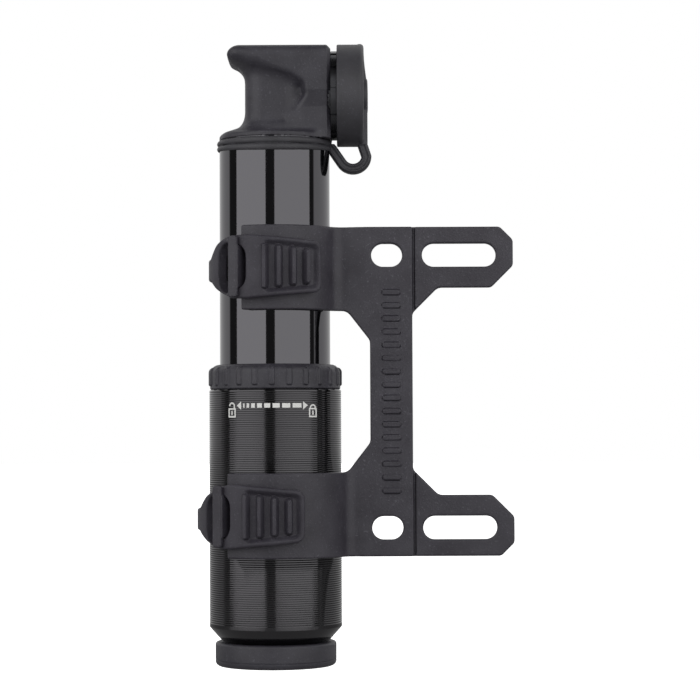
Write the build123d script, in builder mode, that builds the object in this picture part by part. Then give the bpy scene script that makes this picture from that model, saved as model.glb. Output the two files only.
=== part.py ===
"""Hand pump for bicycle tyres in its frame bracket, as separate solids.

Units are millimetres. The origin is on the bracket's back face, midway between the two frame bolts.
+Z runs along the pump towards its head, +X from the pump towards the bolts, +Y into the bicycle frame.
"""

from build123d import *
import os
from math import cos, degrees, radians, sin

# ---------------------------------------------------------------- driving dimensions
# clearances
running_gap = 0.06          # radial, shaft in guide
part_gap = 0.3              # between pieces of different moving bodies
lock_gap = 0.35             # between the lock collar and the lower clip it passes through

# bracket plate
boss_spacing = 64.0         # between the two bolts of a bicycle frame
slot_width = 5.5            # clears a 5 mm bolt
short_slot_length = 7.3
long_slot_length = 17.4
long_slot_offset = 17.0     # from the short slots to the long ones
strip_left = -4.0
strip_right = 6.0
strip_thickness = 3.2
tab_thickness = 2.6
tab_right = 29.7
tab_height = 14.3
plate_edge_margin = 6.66    # bolt line to the plate's outer edge
tab_outer_corner = 3.5
tab_inner_corner = 5.6
web_leg = 6.0               # inner gusset between strip and tab
gusset_drop = 8.0           # outer gusset below each arm
gusset_reach = 6.2
tab_corner_round = 1.6
badge_rib_count = 16        # raised ribs down the strip's front
badge_rib_length = 4.4
badge_rib_width = 1.3
badge_rib_spacing = 3.1
badge_rib_rise = 0.3

# bracket arms, hooks and strap anchors
arm_height = 19.7
arm_thickness = 2.3
arm_bend_radius = 4.4
hook_bar_width = 2.4
hook_bar_thickness = 1.1
hook_bar_height = 14.3
hook_bar_round = 0.6
hook_stem_height = 5.6
hook_stem_width = 2.0
hook_gap = 0.15             # strap to the underside of the hook's bar
hook_overhang = 1.0         # from the arm's end to the middle of the hook's bar
anchor_bead_radius = 1.8
anchor_bead_height = 10.0
anchor_wall = 1.4
bead_clearance = 0.2        # bead to the clip's inner circle
bead_y = -1.0               # bead's middle, in front of the pump's axis
upper_arm_end = 27.1        # degrees to the left of the front
lower_arm_end = 34.5
upper_arm_turn = 60.0       # degrees to the right of the front, where the arm leaves the pump
lower_arm_turn = 64.0

# rubber straps
strap_thickness = 2.3
band_height = 5.2
ring_height = 14.4
ring_hole_height = 9.9
ring_hole_length = 10.2
ring_hole_round = 1.0
ring_shoulder = 1.2
eyelet_climb = 5.2          # length over which the eyelet comes down from the arm
hook_play = 2.6             # from the hook's bar to the hole's edge
tail_length = 17.6
tail_start = 3.0            # from the eyelet's hole to where the tail swings as one piece
tail_root_height = 14.9
tail_tip_height = 11.8
tail_corner = 2.0
rib_count = 4
rib_spacing = 3.35
rib_width = 1.45
rib_rise = 0.6
rib_start_length = 4.9      # from the eyelet's hole to the first rib
rib_first_height = 10.8
rib_height_step = 0.8

# pump place and barrel
pump_side_gap = 9.4         # between the strip and the barrel
pump_axis_behind_strip = 7.4
barrel_radius = 13.1
barrel_wall = 1.4
barrel_top = 59.7
barrel_bottom = -50.5
barrel_end_chamfer = 0.3

# head
head_radius = 11.6
head_sink = 0.7             # how far the head's round body reaches below the barrel's top
horn_tip_inset = 1.7        # horn's tip inside the barrel's side
horn_thickness = 4.0
horn_tip_round = 4.5
neck_left_reach = 7.45      # from the pump's axis
neck_right_reach = 7.0
neck_width = 15.6
neck_side_flat = 0.225
flange_lip = 0.35           # flange beyond the barrel
flange_thickness = 1.8
spigot_length = 8.0
grip_right_reach = 7.8      # finger room, from the pump's axis
grip_tip_lift = 0.6         # horn's underside rises towards its tip
grip_tip_length = 2.4
grip_neck_drop = 1.0
grip_web_length = 8.5
grip_web_drop = 2.2
grip_throat_drop = 5.4
grip_waist_drop = 10.0
grip_waist_inset = 1.2
grip_saddle_inset = 4.5
grip_saddle_height = 2.0
grip_mouth_inset = 6.0
grip_corner_round = 1.5
air_hole_radius = 1.2
seal_cord = 1.4             # thickness of the sealing rings

# chuck
chuck_step = 1.0            # chuck ring inside the head's round body
chuck_length = 4.85         # in front of the head
chuck_depth = 4.15          # inside the head
chuck_lip = 3.8
chuck_nose_round = 1.0
chuck_nose_bevel = 1.6
chuck_bore_radius = 4.2
chuck_notch_count = 12
chuck_notch_width = 1.2
chuck_notch_length = 2.0
insert_radius = 8.4
gasket_seat = 1.6
gasket_radius = 6.6
gasket_bore_radius = 3.0
valve_pin_radius = 0.9
valve_pin_length = 5.0

# one-way valve in the head
poppet_radius = 2.4
poppet_stem_radius = 0.9
poppet_head_thickness = 1.4
poppet_stem_length = 2.2
poppet_seat = 1.2           # floor under the poppet
valve_chamber_radius = 3.4
valve_chamber_height = 7.0
spring_wire = 0.5

# dust cap and tether
cap_proud = 0.55            # cap beyond the head's round body
cap_wall = 0.9
cap_gap_length = 1.45       # between the head and the cap's skirt
cap_length = 6.3
cap_edge_round = 0.8
cap_skirt = 4.0
cap_face_rib = 1.0
cap_rib_length = 10.0
cap_button_radius = 4.0
tether_run = 2.55           # straight stretch of the tether from its ring
tether_drop = 4.2
loop_bulge = 0.5            # how far the loop swings out beyond the cap's face
loop_rise = 2.6
tether_ring_height = 2.5
tether_ring_wall = 0.5
tether_ring_groove = 0.4
tether_thickness = 2.5
tether_width = 4.4

# handle
sleeve_wall = 2.04
barrel_clearance = 0.5      # sleeve's bore beyond the barrel
sleeve_top = 0.55
sleeve_chamfer_top = -55.3
sleeve_bottom = -58.8
sleeve_chamfer_depth = 3.1
neck_step = 1.14            # neck inside the sleeve
neck_top = 4.2
neck_groove_depth = 0.45
neck_wall = 1.1
bushing_wall = 0.94
bushing_length = 6.0
shoulder_height = -56.6
shoulder_width = 2.8        # step inside the sleeve's lower end
bulkhead_thickness = 3.0
rod_radius = 4.0
rod_bore_radius = 2.5
piston_height = 6.0
piston_top_gap = 1.6
guide_height = 5.0
guide_flange = 1.5
bump_height = 2.0
screw_head_radius = 4.2
screw_head_height = 2.6
screw_length = 12.0

# lock collar and end cap
collar_proud = 0.19         # collar's ribs beyond the sleeve
collar_rib_rise = 0.38
collar_rib_count = 24
collar_rib_width = 1.0
collar_top = 6.45
collar_lip = 0.9
collar_groove_low = 1.4
collar_groove_top = 2.6
collar_rib_phase = 3.4      # degrees, first rib from the front to the left
collar_rib_low = 0.9
collar_rib_length = 4.4
end_cap_step = 1.34         # end cap inside the sleeve
end_cap_foot_round = 1.3
end_cap_rim_round = 0.6
end_cap_bottom = -64.5
end_cap_spigot = 1.6
end_cap_floor = 3.0

# ---------------------------------------------------------------- derived places
pump_x = strip_left - pump_side_gap - barrel_radius
pump_y = pump_axis_behind_strip - strip_thickness
head_axis_height = barrel_top + head_radius - head_sink
horn_underside = head_axis_height + head_radius - horn_thickness
flange_radius = barrel_radius + flange_lip
head_right = pump_x + flange_radius
head_tip = pump_x - barrel_radius + horn_tip_inset
neck_left = pump_x - neck_left_reach
neck_right = pump_x + neck_right_reach
neck_depth = neck_right - neck_left
grip_right = pump_x + grip_right_reach
chuck_radius = head_radius - chuck_step
chuck_nose = head_right + chuck_length
chuck_root = head_right - chuck_depth
cap_radius = head_radius + cap_proud
cap_inner_radius = cap_radius - cap_wall
cap_left = head_right + cap_gap_length
cap_right = cap_left + cap_length
tether_ring_lip = barrel_radius + tether_ring_wall
sleeve_inner_radius = barrel_radius + barrel_clearance
sleeve_radius = sleeve_inner_radius + sleeve_wall
neck_radius = sleeve_radius - neck_step
bushing_radius = barrel_radius + running_gap + bushing_wall
shoulder_radius = sleeve_inner_radius - shoulder_width
collar_radius = sleeve_radius + collar_proud
end_cap_radius = sleeve_radius - end_cap_step
pump_axis = Axis((pump_x, pump_y, 0), (0, 0, 1))
section = Plane(origin=(pump_x, pump_y, 0), x_dir=(1, 0, 0), z_dir=(0, -1, 0))
chuck_axis = Axis((0, pump_y, head_axis_height), (1, 0, 0))
chuck_section = Plane(origin=(0, pump_y, head_axis_height), x_dir=(1, 0, 0), z_dir=(0, -1, 0))
plate_top = boss_spacing / 2 + plate_edge_margin
strip_middle = (strip_left + strip_right) / 2
arm_bottom = plate_top - arm_height
arm_middle = plate_top - arm_height / 2
bore_radius = barrel_radius - barrel_wall
piston_top = barrel_top - spigot_length - piston_top_gap
piston_bottom = piston_top - piston_height
guide_top = barrel_bottom + guide_height
bulkhead_top = shoulder_height + bulkhead_thickness
flange_top = barrel_top + flange_thickness
upper_clip_radius = barrel_radius + part_gap
lower_clip_radius = collar_radius + lock_gap
arms = {
    "upper": (1, upper_clip_radius, upper_arm_end, upper_arm_turn),
    "lower": (-1, lower_clip_radius, lower_arm_end, lower_arm_turn),
}


def level(height):
    """Plane across the pump's axis at a height."""
    return Plane(origin=(pump_x, pump_y, height), x_dir=(1, 0, 0), z_dir=(0, 0, 1))


def front(depth):
    """Plane facing the front at a depth, with local x along +X and local y along +Z."""
    return Plane(origin=(0, depth, 0), x_dir=(1, 0, 0), z_dir=(0, -1, 0))


def outward(radius, angle, height):
    """Plane on the pump's circle facing outwards; the angle runs from the front to the left."""
    turn = radians(angle)
    origin = (pump_x - radius * sin(turn), pump_y - radius * cos(turn), height)
    return Plane(origin=origin, x_dir=(cos(turn), -sin(turn), 0), z_dir=(-sin(turn), -cos(turn), 0))


def turned(plane, *points):
    """Closed outline of straight lines on a plane, for turning or extruding."""
    with BuildSketch(plane) as outline:
        with BuildLine():
            Polyline(*points, close=True)
        make_face()
    return outline.sketch


def tube(inner, outer, low, high):
    """Outline of a plain ring about the pump's axis."""
    return turned(section, (inner, low), (outer, low), (outer, high), (inner, high))


os.makedirs("parts", exist_ok=True)


def save(solid, name):
    """Labels a finished piece and writes its file."""
    solid.label = name
    export_step(solid, f"parts/{name}.step")


# ---------------------------------------------------------------- bracket
def arm_path(clip_radius, end_angle, turn_angle):
    """Middle line of a clip arm seen from above, from its free end round the pump to the strip."""
    middle = clip_radius + arm_thickness / 2
    sweep = end_angle + turn_angle
    seat = -pump_axis_behind_strip + arm_thickness / 2
    leave = radians(turn_angle)
    start = (middle * sin(leave), -middle * cos(leave))
    with BuildLine() as path:
        CenterArc((0, 0), middle, 270 - end_angle, sweep)
        bend = JernArc(start, (cos(leave), sin(leave)), arm_bend_radius, -turn_angle)
        Spline(
            bend @ 1,
            (strip_left - pump_x + strip_thickness / 2, seat),
            tangents=((1, 0), (1, 0)),
        )
    return path.line


with BuildPart() as mount_bracket:
    # strip and tabs, the upper half first
    with BuildSketch(front(0)) as strip_face:
        with Locations((strip_middle, 0)):
            Rectangle(strip_right - strip_left, 2 * plate_top)
    extrude(amount=strip_thickness)
    for side in (1, -1):
        low = side * (plate_top - tab_height)
        high = side * plate_top
        with BuildSketch(front(0)) as tab_face:
            with BuildLine():
                Polyline(
                    (strip_middle, high),
                    (tab_right - tab_outer_corner, high),
                    (tab_right, high - side * tab_outer_corner),
                    (tab_right, low + side * tab_inner_corner),
                    (tab_right - tab_inner_corner, low),
                    (strip_right + web_leg, low),
                    (strip_right, low - side * web_leg),
                    (strip_middle, low - side * web_leg),
                    close=True,
                )
            make_face()
            rounded = tab_face.vertices().sort_by(Axis.X)[-6:]
            fillet(rounded, radius=tab_corner_round)
        extrude(amount=tab_thickness)
    # arms with their gussets, cut to the gusset's slope
    for side, clip_radius, end_angle, turn_angle in arms.values():
        foot = side * (arm_bottom - gusset_drop)
        root = side * plate_top
        with BuildSketch(level(min(foot, root))):
            with BuildLine():
                add(arm_path(clip_radius, end_angle, turn_angle))
            trace(line_width=arm_thickness)
        extrude(amount=arm_height + gusset_drop)
        with BuildSketch(front(-pump_axis_behind_strip - clip_radius)):
            with BuildLine():
                Polyline(
                    (pump_x - 2 * clip_radius, side * arm_bottom),
                    (strip_left - gusset_reach, side * arm_bottom),
                    (strip_left, foot),
                    (strip_left, foot - side),
                    (pump_x - 2 * clip_radius, foot - side),
                    close=True,
                )
            make_face()
        extrude(amount=-2 * clip_radius, mode=Mode.SUBTRACT)

    # a hook on each arm's free end
    for side, clip_radius, end_angle, turn_angle in arms.values():
        strap_seat = clip_radius + arm_thickness + part_gap
        bar_seat = strap_seat + strap_thickness + hook_gap
        bar_angle = end_angle + degrees(hook_overhang / strap_seat)
        middle = side * arm_middle
        with BuildSketch(outward(clip_radius, bar_angle, middle)):
            Rectangle(hook_stem_width + hook_overhang, hook_stem_height)
        extrude(amount=bar_seat - clip_radius)
        with BuildSketch(outward(bar_seat, bar_angle, middle)):
            RectangleRounded(hook_bar_width, hook_bar_height, hook_bar_round)
        extrude(amount=hook_bar_thickness)

    # a cradle behind each arm that holds the strap's bead
    for side, clip_radius, end_angle, turn_angle in arms.values():
        bead_x = clip_radius + bead_clearance + anchor_bead_radius
        middle = side * arm_middle
        turn = cos(radians(turn_angle))
        arm_depth = (clip_radius + arm_thickness / 2) * turn - arm_bend_radius * (1 - turn)
        cradle_back = bead_y + anchor_bead_radius + anchor_wall
        with BuildSketch(level(middle - anchor_bead_height / 2 - anchor_wall)):
            with Locations((bead_x, cradle_back)):
                Rectangle(
                    anchor_bead_radius + anchor_wall,
                    cradle_back + arm_depth,
                    align=(Align.MIN, Align.MAX),
                )
        extrude(amount=anchor_bead_height + 2 * anchor_wall)
        with BuildSketch(level(middle - anchor_bead_height / 2 - running_gap)):
            with Locations((bead_x, bead_y)):
                Circle(anchor_bead_radius + running_gap)
        extrude(amount=anchor_bead_height + 2 * running_gap, mode=Mode.SUBTRACT)
        with BuildSketch(level(middle - anchor_bead_height / 2 - running_gap)):
            with Locations((clip_radius + strap_thickness + running_gap, bead_y)):
                Rectangle(
                    strap_thickness,
                    2 * anchor_bead_radius + anchor_wall,
                    align=(Align.MAX, Align.MIN),
                )
        extrude(amount=anchor_bead_height + 2 * running_gap, mode=Mode.SUBTRACT)

    # raised ribs down the front of the strip
    with BuildSketch(front(-strip_thickness)):
        with Locations((strip_middle, 0)):
            with GridLocations(1, badge_rib_spacing, 1, badge_rib_count):
                SlotOverall(badge_rib_length, badge_rib_width)
    extrude(amount=badge_rib_rise)

    # slots for the bolts
    with BuildSketch(front(0)):
        with Locations((0, boss_spacing / 2), (0, -boss_spacing / 2)):
            SlotOverall(short_slot_length, slot_width)
        with Locations((long_slot_offset, boss_spacing / 2), (long_slot_offset, -boss_spacing / 2)):
            SlotOverall(long_slot_length, slot_width)
    extrude(amount=strip_thickness, mode=Mode.SUBTRACT)

save(mount_bracket.part, "mount_bracket")


# ---------------------------------------------------------------- rubber straps
def strap_hole_angle(clip_radius, end_angle):
    """Angle of the eyelet's right-hand edge, set by the hook that it hangs on."""
    seat = clip_radius + arm_thickness + part_gap
    return end_angle + degrees((hook_overhang - hook_play) / (seat + strap_thickness / 2))


def make_band(side, clip_radius):
    """Fixed length of a strap, from the bead in its cradle round the back of the pump."""
    middle_radius = clip_radius + strap_thickness / 2
    middle = side * arm_middle
    with BuildPart() as band:
        with BuildSketch(level(middle - band_height / 2)):
            with BuildLine():
                Line((middle_radius, bead_y), (middle_radius, 0))
                CenterArc((0, 0), middle_radius, 0, 180)
            trace(line_width=strap_thickness)
        extrude(amount=band_height)
        with BuildSketch(level(middle - anchor_bead_height / 2)):
            with Locations((clip_radius + bead_clearance + anchor_bead_radius, bead_y)):
                Circle(anchor_bead_radius)
        extrude(amount=anchor_bead_height)
    return band.part


def make_loose_end(side, clip_radius, end_angle):
    """Loose end of a strap: the eyelet round the hook, and the pull tail lying on the arm."""
    low_radius = clip_radius + strap_thickness / 2
    high_radius = low_radius + arm_thickness + part_gap
    middle = side * arm_middle
    hole_edge = strap_hole_angle(clip_radius, end_angle)
    tip = hole_edge - degrees(tail_length / high_radius)
    climb_end = end_angle - 1.0
    climb_start = end_angle + degrees(eyelet_climb / low_radius)
    first = 90 - degrees(part_gap / low_radius)

    def across(radius, angle):
        return (-radius * sin(radians(angle)), -radius * cos(radians(angle)))

    def along(angle):
        return (cos(radians(angle)), -sin(radians(angle)))

    def seen(angle, radius):
        return pump_x - radius * sin(radians(angle))

    with BuildPart() as tab:
        with BuildSketch(level(middle - tail_root_height / 2)):
            with BuildLine():
                CenterArc((0, 0), low_radius, 270 - first, first - climb_start)
                Spline(
                    across(low_radius, climb_start),
                    across(high_radius, climb_end),
                    tangents=(along(climb_start), along(climb_end)),
                )
                CenterArc((0, 0), high_radius, 270 - climb_end, climb_end - tip)
            trace(line_width=strap_thickness)
        extrude(amount=tail_root_height)
        # outline of the eyelet and the tapered tail, seen from the front
        outer = low_radius + strap_thickness / 2
        tail_outer = high_radius + strap_thickness / 2
        half_ring = ring_height / 2
        half_band = band_height / 2
        upper_edge = [
            (seen(90, outer + 1), half_band),
            (seen(75, outer), half_band),
            (seen(60, outer), (half_ring + half_band) / 2),
            (seen(50, outer), half_ring - ring_shoulder),
            (seen(36, outer), half_ring),
            (seen(hole_edge, tail_outer), tail_root_height / 2),
            (seen(tip, tail_outer), tail_tip_height / 2),
        ]
        lower_edge = [(x, -z) for x, z in reversed(upper_edge)]
        with BuildSketch(front(pump_y)) as outline:
            with BuildLine():
                Polyline(*[(x, z + middle) for x, z in upper_edge + lower_edge], close=True)
            make_face()
            fillet(outline.vertices().sort_by(Axis.X)[-2:], radius=tail_corner)
        extrude(amount=2 * tail_outer, mode=Mode.INTERSECT)
        # eyelet hole
        hole_middle = hole_edge + degrees(ring_hole_length / 2 / (low_radius + strap_thickness))
        with BuildSketch(outward(clip_radius - 1, hole_middle, middle)) as hole:
            with BuildLine():
                Polyline(
                    (ring_hole_length / 2, -ring_hole_height / 2),
                    (ring_hole_length / 2, ring_hole_height / 2),
                    (-ring_hole_length / 4, ring_hole_height / 2),
                    (-ring_hole_length / 2, ring_hole_height / 4),
                    (-ring_hole_length / 2, -ring_hole_height / 4),
                    (-ring_hole_length / 4, -ring_hole_height / 2),
                    close=True,
                )
            make_face()
            fillet(hole.vertices(), radius=ring_hole_round)
        extrude(amount=3 * strap_thickness + arm_thickness, mode=Mode.SUBTRACT)
        # grip ribs across the tail
        for rib in range(rib_count):
            angle = hole_edge - degrees((rib_start_length + rib * rib_spacing) / tail_outer)
            with BuildSketch(outward(high_radius, angle, middle)):
                SlotOverall(rib_first_height - rib * rib_height_step, rib_width, rotation=90)
            extrude(amount=strap_thickness / 2 + rib_rise)
    # the tail starts clear of the hook, so that it can swing past it
    parting = hole_edge - degrees(tail_start / high_radius)
    seat = outward(high_radius, parting, middle)
    cut = Plane(origin=seat.origin, z_dir=seat.x_dir)
    return sorted(tab.part.split(cut, keep=Keep.BOTH), key=lambda half: half.center().X)


for name, (side, clip_radius, end_angle, turn_angle) in arms.items():
    save(make_band(side, clip_radius), f"strap_band_{name}")
    eyelet, tail = make_loose_end(side, clip_radius, end_angle)
    save(eyelet, f"strap_eyelet_{name}")
    save(tail, f"strap_tail_{name}")


# ---------------------------------------------------------------- barrel and head
with BuildPart() as barrel_tube:
    revolve(tube(bore_radius, barrel_radius, barrel_bottom, barrel_top), axis=pump_axis)
    chamfer(barrel_tube.edges().filter_by(GeomType.CIRCLE).group_by(Axis.Z)[0], length=barrel_end_chamfer)
save(barrel_tube.part, "barrel_tube")

with BuildPart() as pump_head:
    # chuck body, lying across the pump, with the finger horn at its left end
    with BuildSketch(Plane(origin=(head_right, pump_y, head_axis_height), z_dir=(-1, 0, 0))):
        Circle(head_radius)
    extrude(amount=head_right - head_tip)
    fillet(pump_head.edges().filter_by(GeomType.CIRCLE).sort_by(Axis.X)[0], radius=horn_tip_round)
    split(bisect_by=level(barrel_top), keep=Keep.TOP)
    # finger room under the horn and on both sides of the neck
    with BuildSketch(front(pump_y)) as grip:
        with BuildLine():
            Polyline(
                (head_tip - grip_tip_length, barrel_top),
                (head_tip - grip_tip_length, horn_underside + grip_tip_lift),
                (head_tip + grip_tip_length, horn_underside),
                (neck_left, horn_underside - grip_neck_drop),
                (neck_left + grip_web_length, horn_underside - grip_web_drop),
                (grip_right, horn_underside - grip_throat_drop),
                (grip_right - grip_waist_inset, horn_underside - grip_waist_drop),
                (grip_right - grip_saddle_inset, flange_top + grip_saddle_height),
                (grip_right - grip_mouth_inset, barrel_top),
                close=True,
            )
        make_face()
        fillet(grip.vertices().sort_by(Axis.X)[-5:-1], radius=grip_corner_round)
    extrude(amount=2 * head_radius, both=True, mode=Mode.SUBTRACT)
    # neck and flange
    with BuildSketch(level(barrel_top)) as neck_foot:
        with Locations(((neck_left + neck_right) / 2 - pump_x, 0)):
            RectangleRounded(neck_depth, neck_width, min(neck_depth, neck_width) / 2 - neck_side_flat)
    extrude(amount=horn_underside + horn_thickness / 2 - barrel_top)
    with BuildSketch(level(barrel_top)):
        Circle(flange_radius)
    extrude(amount=flange_thickness)
    # spigot inside the barrel, with the groove of its seal
    revolve(tube(0, bore_radius - running_gap, barrel_top - spigot_length, barrel_top), axis=pump_axis)
    seal_groove = barrel_top - spigot_length / 2
    revolve(
        tube(bore_radius - seal_cord, bore_radius, seal_groove - seal_cord / 2, seal_groove + seal_cord / 2),
        axis=pump_axis,
        mode=Mode.SUBTRACT,
    )
    # one-way valve chamber in the spigot and the air passage up to the chuck
    chamber_low = barrel_top - spigot_length + poppet_seat
    revolve(
        tube(0, valve_chamber_radius, chamber_low, chamber_low + valve_chamber_height),
        axis=pump_axis,
        mode=Mode.SUBTRACT,
    )
    revolve(
        tube(0, air_hole_radius, barrel_top - spigot_length, head_axis_height),
        axis=pump_axis,
        mode=Mode.SUBTRACT,
    )
    # bore for the chuck insert
    revolve(
        turned(
            chuck_section,
            (head_right, 0),
            (head_right, insert_radius + running_gap),
            (chuck_root, insert_radius + running_gap),
            (chuck_root, air_hole_radius),
            (pump_x, air_hole_radius),
            (pump_x, 0),
        ),
        axis=chuck_axis,
        mode=Mode.SUBTRACT,
    )
save(pump_head.part, "pump_head")

with BuildPart() as head_seal:
    revolve(
        tube(bore_radius - seal_cord + 0.05, bore_radius - 0.03, seal_groove - 0.6, seal_groove + 0.6),
        axis=pump_axis,
    )
save(head_seal.part, "head_seal")

# ---------------------------------------------------------------- one-way valve
with BuildPart() as valve_poppet:
    seat = chamber_low
    revolve(
        turned(
            section,
            (0, seat),
            (poppet_radius, seat),
            (poppet_radius, seat + poppet_head_thickness),
            (poppet_stem_radius, seat + poppet_head_thickness),
            (poppet_stem_radius, seat + poppet_head_thickness + poppet_stem_length),
            (0, seat + poppet_head_thickness + poppet_stem_length),
        ),
        axis=pump_axis,
    )
save(valve_poppet.part, "valve_poppet")

with BuildPart() as valve_spring:
    revolve(
        tube(
            poppet_stem_radius + part_gap,
            poppet_stem_radius + part_gap + spring_wire,
            seat + poppet_head_thickness + 0.05,
            chamber_low + valve_chamber_height,
        ),
        axis=pump_axis,
    )
save(valve_spring.part, "valve_spring")

# ---------------------------------------------------------------- chuck
with BuildPart() as chuck_ring:
    revolve(
        turned(
            chuck_section,
            (head_right + 0.02, gasket_radius + running_gap),
            (chuck_root + gasket_seat, gasket_radius + running_gap),
            (chuck_root + gasket_seat, insert_radius),
            (head_right + 0.02, insert_radius),
            (head_right + 0.02, chuck_radius),
            (chuck_nose - chuck_nose_round, chuck_radius),
            (chuck_nose, chuck_radius - chuck_nose_bevel),
            (chuck_nose, chuck_bore_radius),
            (chuck_nose - chuck_lip, chuck_bore_radius),
            (chuck_nose - chuck_lip, gasket_radius + running_gap),
        ),
        axis=chuck_axis,
    )
    with BuildSketch(Plane(origin=(head_right + 0.02, pump_y, head_axis_height), z_dir=(1, 0, 0))):
        with PolarLocations(chuck_radius, chuck_notch_count):
            Rectangle(1.0, chuck_notch_width)
    extrude(amount=chuck_notch_length, mode=Mode.SUBTRACT)
save(chuck_ring.part, "chuck_ring")

with BuildPart() as valve_gasket:
    revolve(
        turned(
            chuck_section,
            (chuck_root + gasket_seat, gasket_bore_radius),
            (chuck_nose - chuck_lip - 0.05, gasket_bore_radius),
            (chuck_nose - chuck_lip - 0.05, gasket_radius),
            (chuck_root + gasket_seat, gasket_radius),
        ),
        axis=chuck_axis,
    )
save(valve_gasket.part, "valve_gasket")

with BuildPart() as valve_pin:
    revolve(
        turned(
            chuck_section,
            (chuck_root, air_hole_radius),
            (chuck_root + gasket_seat - 0.05, air_hole_radius),
            (chuck_root + gasket_seat - 0.05, insert_radius),
            (chuck_root, insert_radius),
        ),
        axis=chuck_axis,
    )
    with BuildSketch(Plane(origin=(chuck_root, pump_y, head_axis_height), z_dir=(1, 0, 0))):
        Rectangle(2 * air_hole_radius + 1, valve_pin_radius)
    extrude(amount=gasket_seat - 0.05)
    with BuildSketch(Plane(origin=(chuck_root, pump_y, head_axis_height), z_dir=(1, 0, 0))):
        Circle(valve_pin_radius)
    extrude(amount=valve_pin_length)
save(valve_pin.part, "valve_pin")

# ---------------------------------------------------------------- dust cap and its tether
with BuildPart() as dust_cap:
    revolve(
        turned(
            chuck_section,
            (cap_left, cap_inner_radius),
            (cap_left, cap_radius),
            (cap_right, cap_radius),
            (cap_right, 0),
            (cap_left + cap_skirt, 0),
            (cap_left + cap_skirt, cap_inner_radius),
        ),
        axis=chuck_axis,
    )
    fillet(dust_cap.edges().filter_by(GeomType.CIRCLE).sort_by(Axis.X)[-1], radius=cap_edge_round)
    with BuildSketch(Plane(origin=(cap_right, pump_y, head_axis_height), x_dir=(0, 1, 0), z_dir=(1, 0, 0))):
        with Locations((0, -cap_radius + cap_rib_length / 2)):
            Rectangle(tether_width, cap_rib_length)
        Circle(cap_button_radius)
    extrude(amount=cap_face_rib)
save(dust_cap.part, "dust_cap")

with BuildPart() as tether_ring:
    middle_step = barrel_top - tether_ring_height * 0.6
    revolve(
        turned(
            section,
            (barrel_radius + 0.05, barrel_top - tether_ring_height),
            (tether_ring_lip, barrel_top - tether_ring_height),
            (tether_ring_lip, middle_step - 0.2),
            (tether_ring_lip - tether_ring_groove, middle_step),
            (tether_ring_lip - tether_ring_groove / 3, middle_step + 0.2),
            (tether_ring_lip - tether_ring_groove / 3, barrel_top - running_gap),
            (barrel_radius + 0.05, barrel_top - running_gap),
        ),
        axis=pump_axis,
    )
save(tether_ring.part, "tether_ring")

with BuildPart() as cap_tether:
    ring_side = pump_x + tether_ring_lip
    ring_middle = barrel_top - tether_ring_height / 2
    cap_bottom = head_axis_height - cap_radius
    cap_side = cap_right + cap_face_rib - tether_thickness / 2
    with BuildSketch(front(pump_y)):
        with BuildLine():
            run = Line(
                (ring_side, ring_middle - 0.5),
                (ring_side + tether_run, ring_middle - 0.5 - tether_drop),
            )
            loop = TangentArc(run @ 1, (cap_side + loop_bulge, cap_bottom - loop_rise), tangent=run % 1)
            Line(loop @ 1, (cap_side, cap_bottom - part_gap))
        trace(line_width=tether_thickness)
    extrude(amount=tether_width / 2, both=True)
    revolve(
        tube(0, tether_ring_lip + 0.02, barrel_bottom, barrel_top),
        axis=pump_axis,
        mode=Mode.SUBTRACT,
    )
save(cap_tether.part, "cap_tether")

# ---------------------------------------------------------------- inside the barrel
with BuildPart() as rod_guide:
    revolve(
        turned(
            section,
            (rod_radius + running_gap, barrel_bottom - guide_flange),
            (barrel_radius, barrel_bottom - guide_flange),
            (barrel_radius, barrel_bottom),
            (bore_radius - running_gap, barrel_bottom),
            (bore_radius - running_gap, guide_top),
            (rod_radius + running_gap, guide_top),
        ),
        axis=pump_axis,
    )
save(rod_guide.part, "rod_guide")

with BuildPart() as bump_stop:
    revolve(
        tube(rod_radius + part_gap, bore_radius - 2.5, guide_top, guide_top + bump_height),
        axis=pump_axis,
    )
save(bump_stop.part, "bump_stop")

with BuildPart() as piston_head:
    piston_groove = (piston_top + piston_bottom) / 2
    revolve(tube(0, bore_radius - running_gap, piston_bottom, piston_top), axis=pump_axis)
    revolve(
        tube(bore_radius - seal_cord, bore_radius, piston_groove - 0.7, piston_groove + 0.7),
        axis=pump_axis,
        mode=Mode.SUBTRACT,
    )
    revolve(
        tube(0, rod_radius, piston_bottom, piston_bottom + piston_height / 2),
        axis=pump_axis,
        mode=Mode.SUBTRACT,
    )
save(piston_head.part, "piston_head")

with BuildPart() as piston_seal:
    revolve(
        tube(bore_radius - seal_cord + 0.05, bore_radius - 0.03, piston_groove - 0.65, piston_groove + 0.65),
        axis=pump_axis,
    )
save(piston_seal.part, "piston_seal")

with BuildPart() as piston_rod:
    revolve(
        tube(rod_bore_radius, rod_radius, bulkhead_top, piston_bottom + piston_height / 2),
        axis=pump_axis,
    )
save(piston_rod.part, "piston_rod")

# ---------------------------------------------------------------- handle
with BuildPart() as handle_sleeve:
    revolve(
        turned(
            section,
            (neck_radius - neck_wall, sleeve_top + 0.2),
            (neck_radius - neck_wall, neck_top),
            (neck_radius, neck_top),
            (neck_radius, sleeve_top + collar_groove_top),
            (neck_radius - neck_groove_depth, sleeve_top + collar_groove_top),
            (neck_radius - neck_groove_depth, sleeve_top + collar_groove_low),
            (neck_radius, sleeve_top + collar_groove_low),
            (neck_radius, sleeve_top),
            (sleeve_radius, sleeve_top),
            (sleeve_radius, sleeve_chamfer_top),
            (sleeve_radius - sleeve_chamfer_depth, sleeve_bottom),
            (shoulder_radius, sleeve_bottom),
            (shoulder_radius, shoulder_height),
            (sleeve_inner_radius, shoulder_height),
            (sleeve_inner_radius, sleeve_top - bushing_length),
            (bushing_radius, sleeve_top - bushing_length),
            (bushing_radius, sleeve_top + 0.2),
        ),
        axis=pump_axis,
    )
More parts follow.
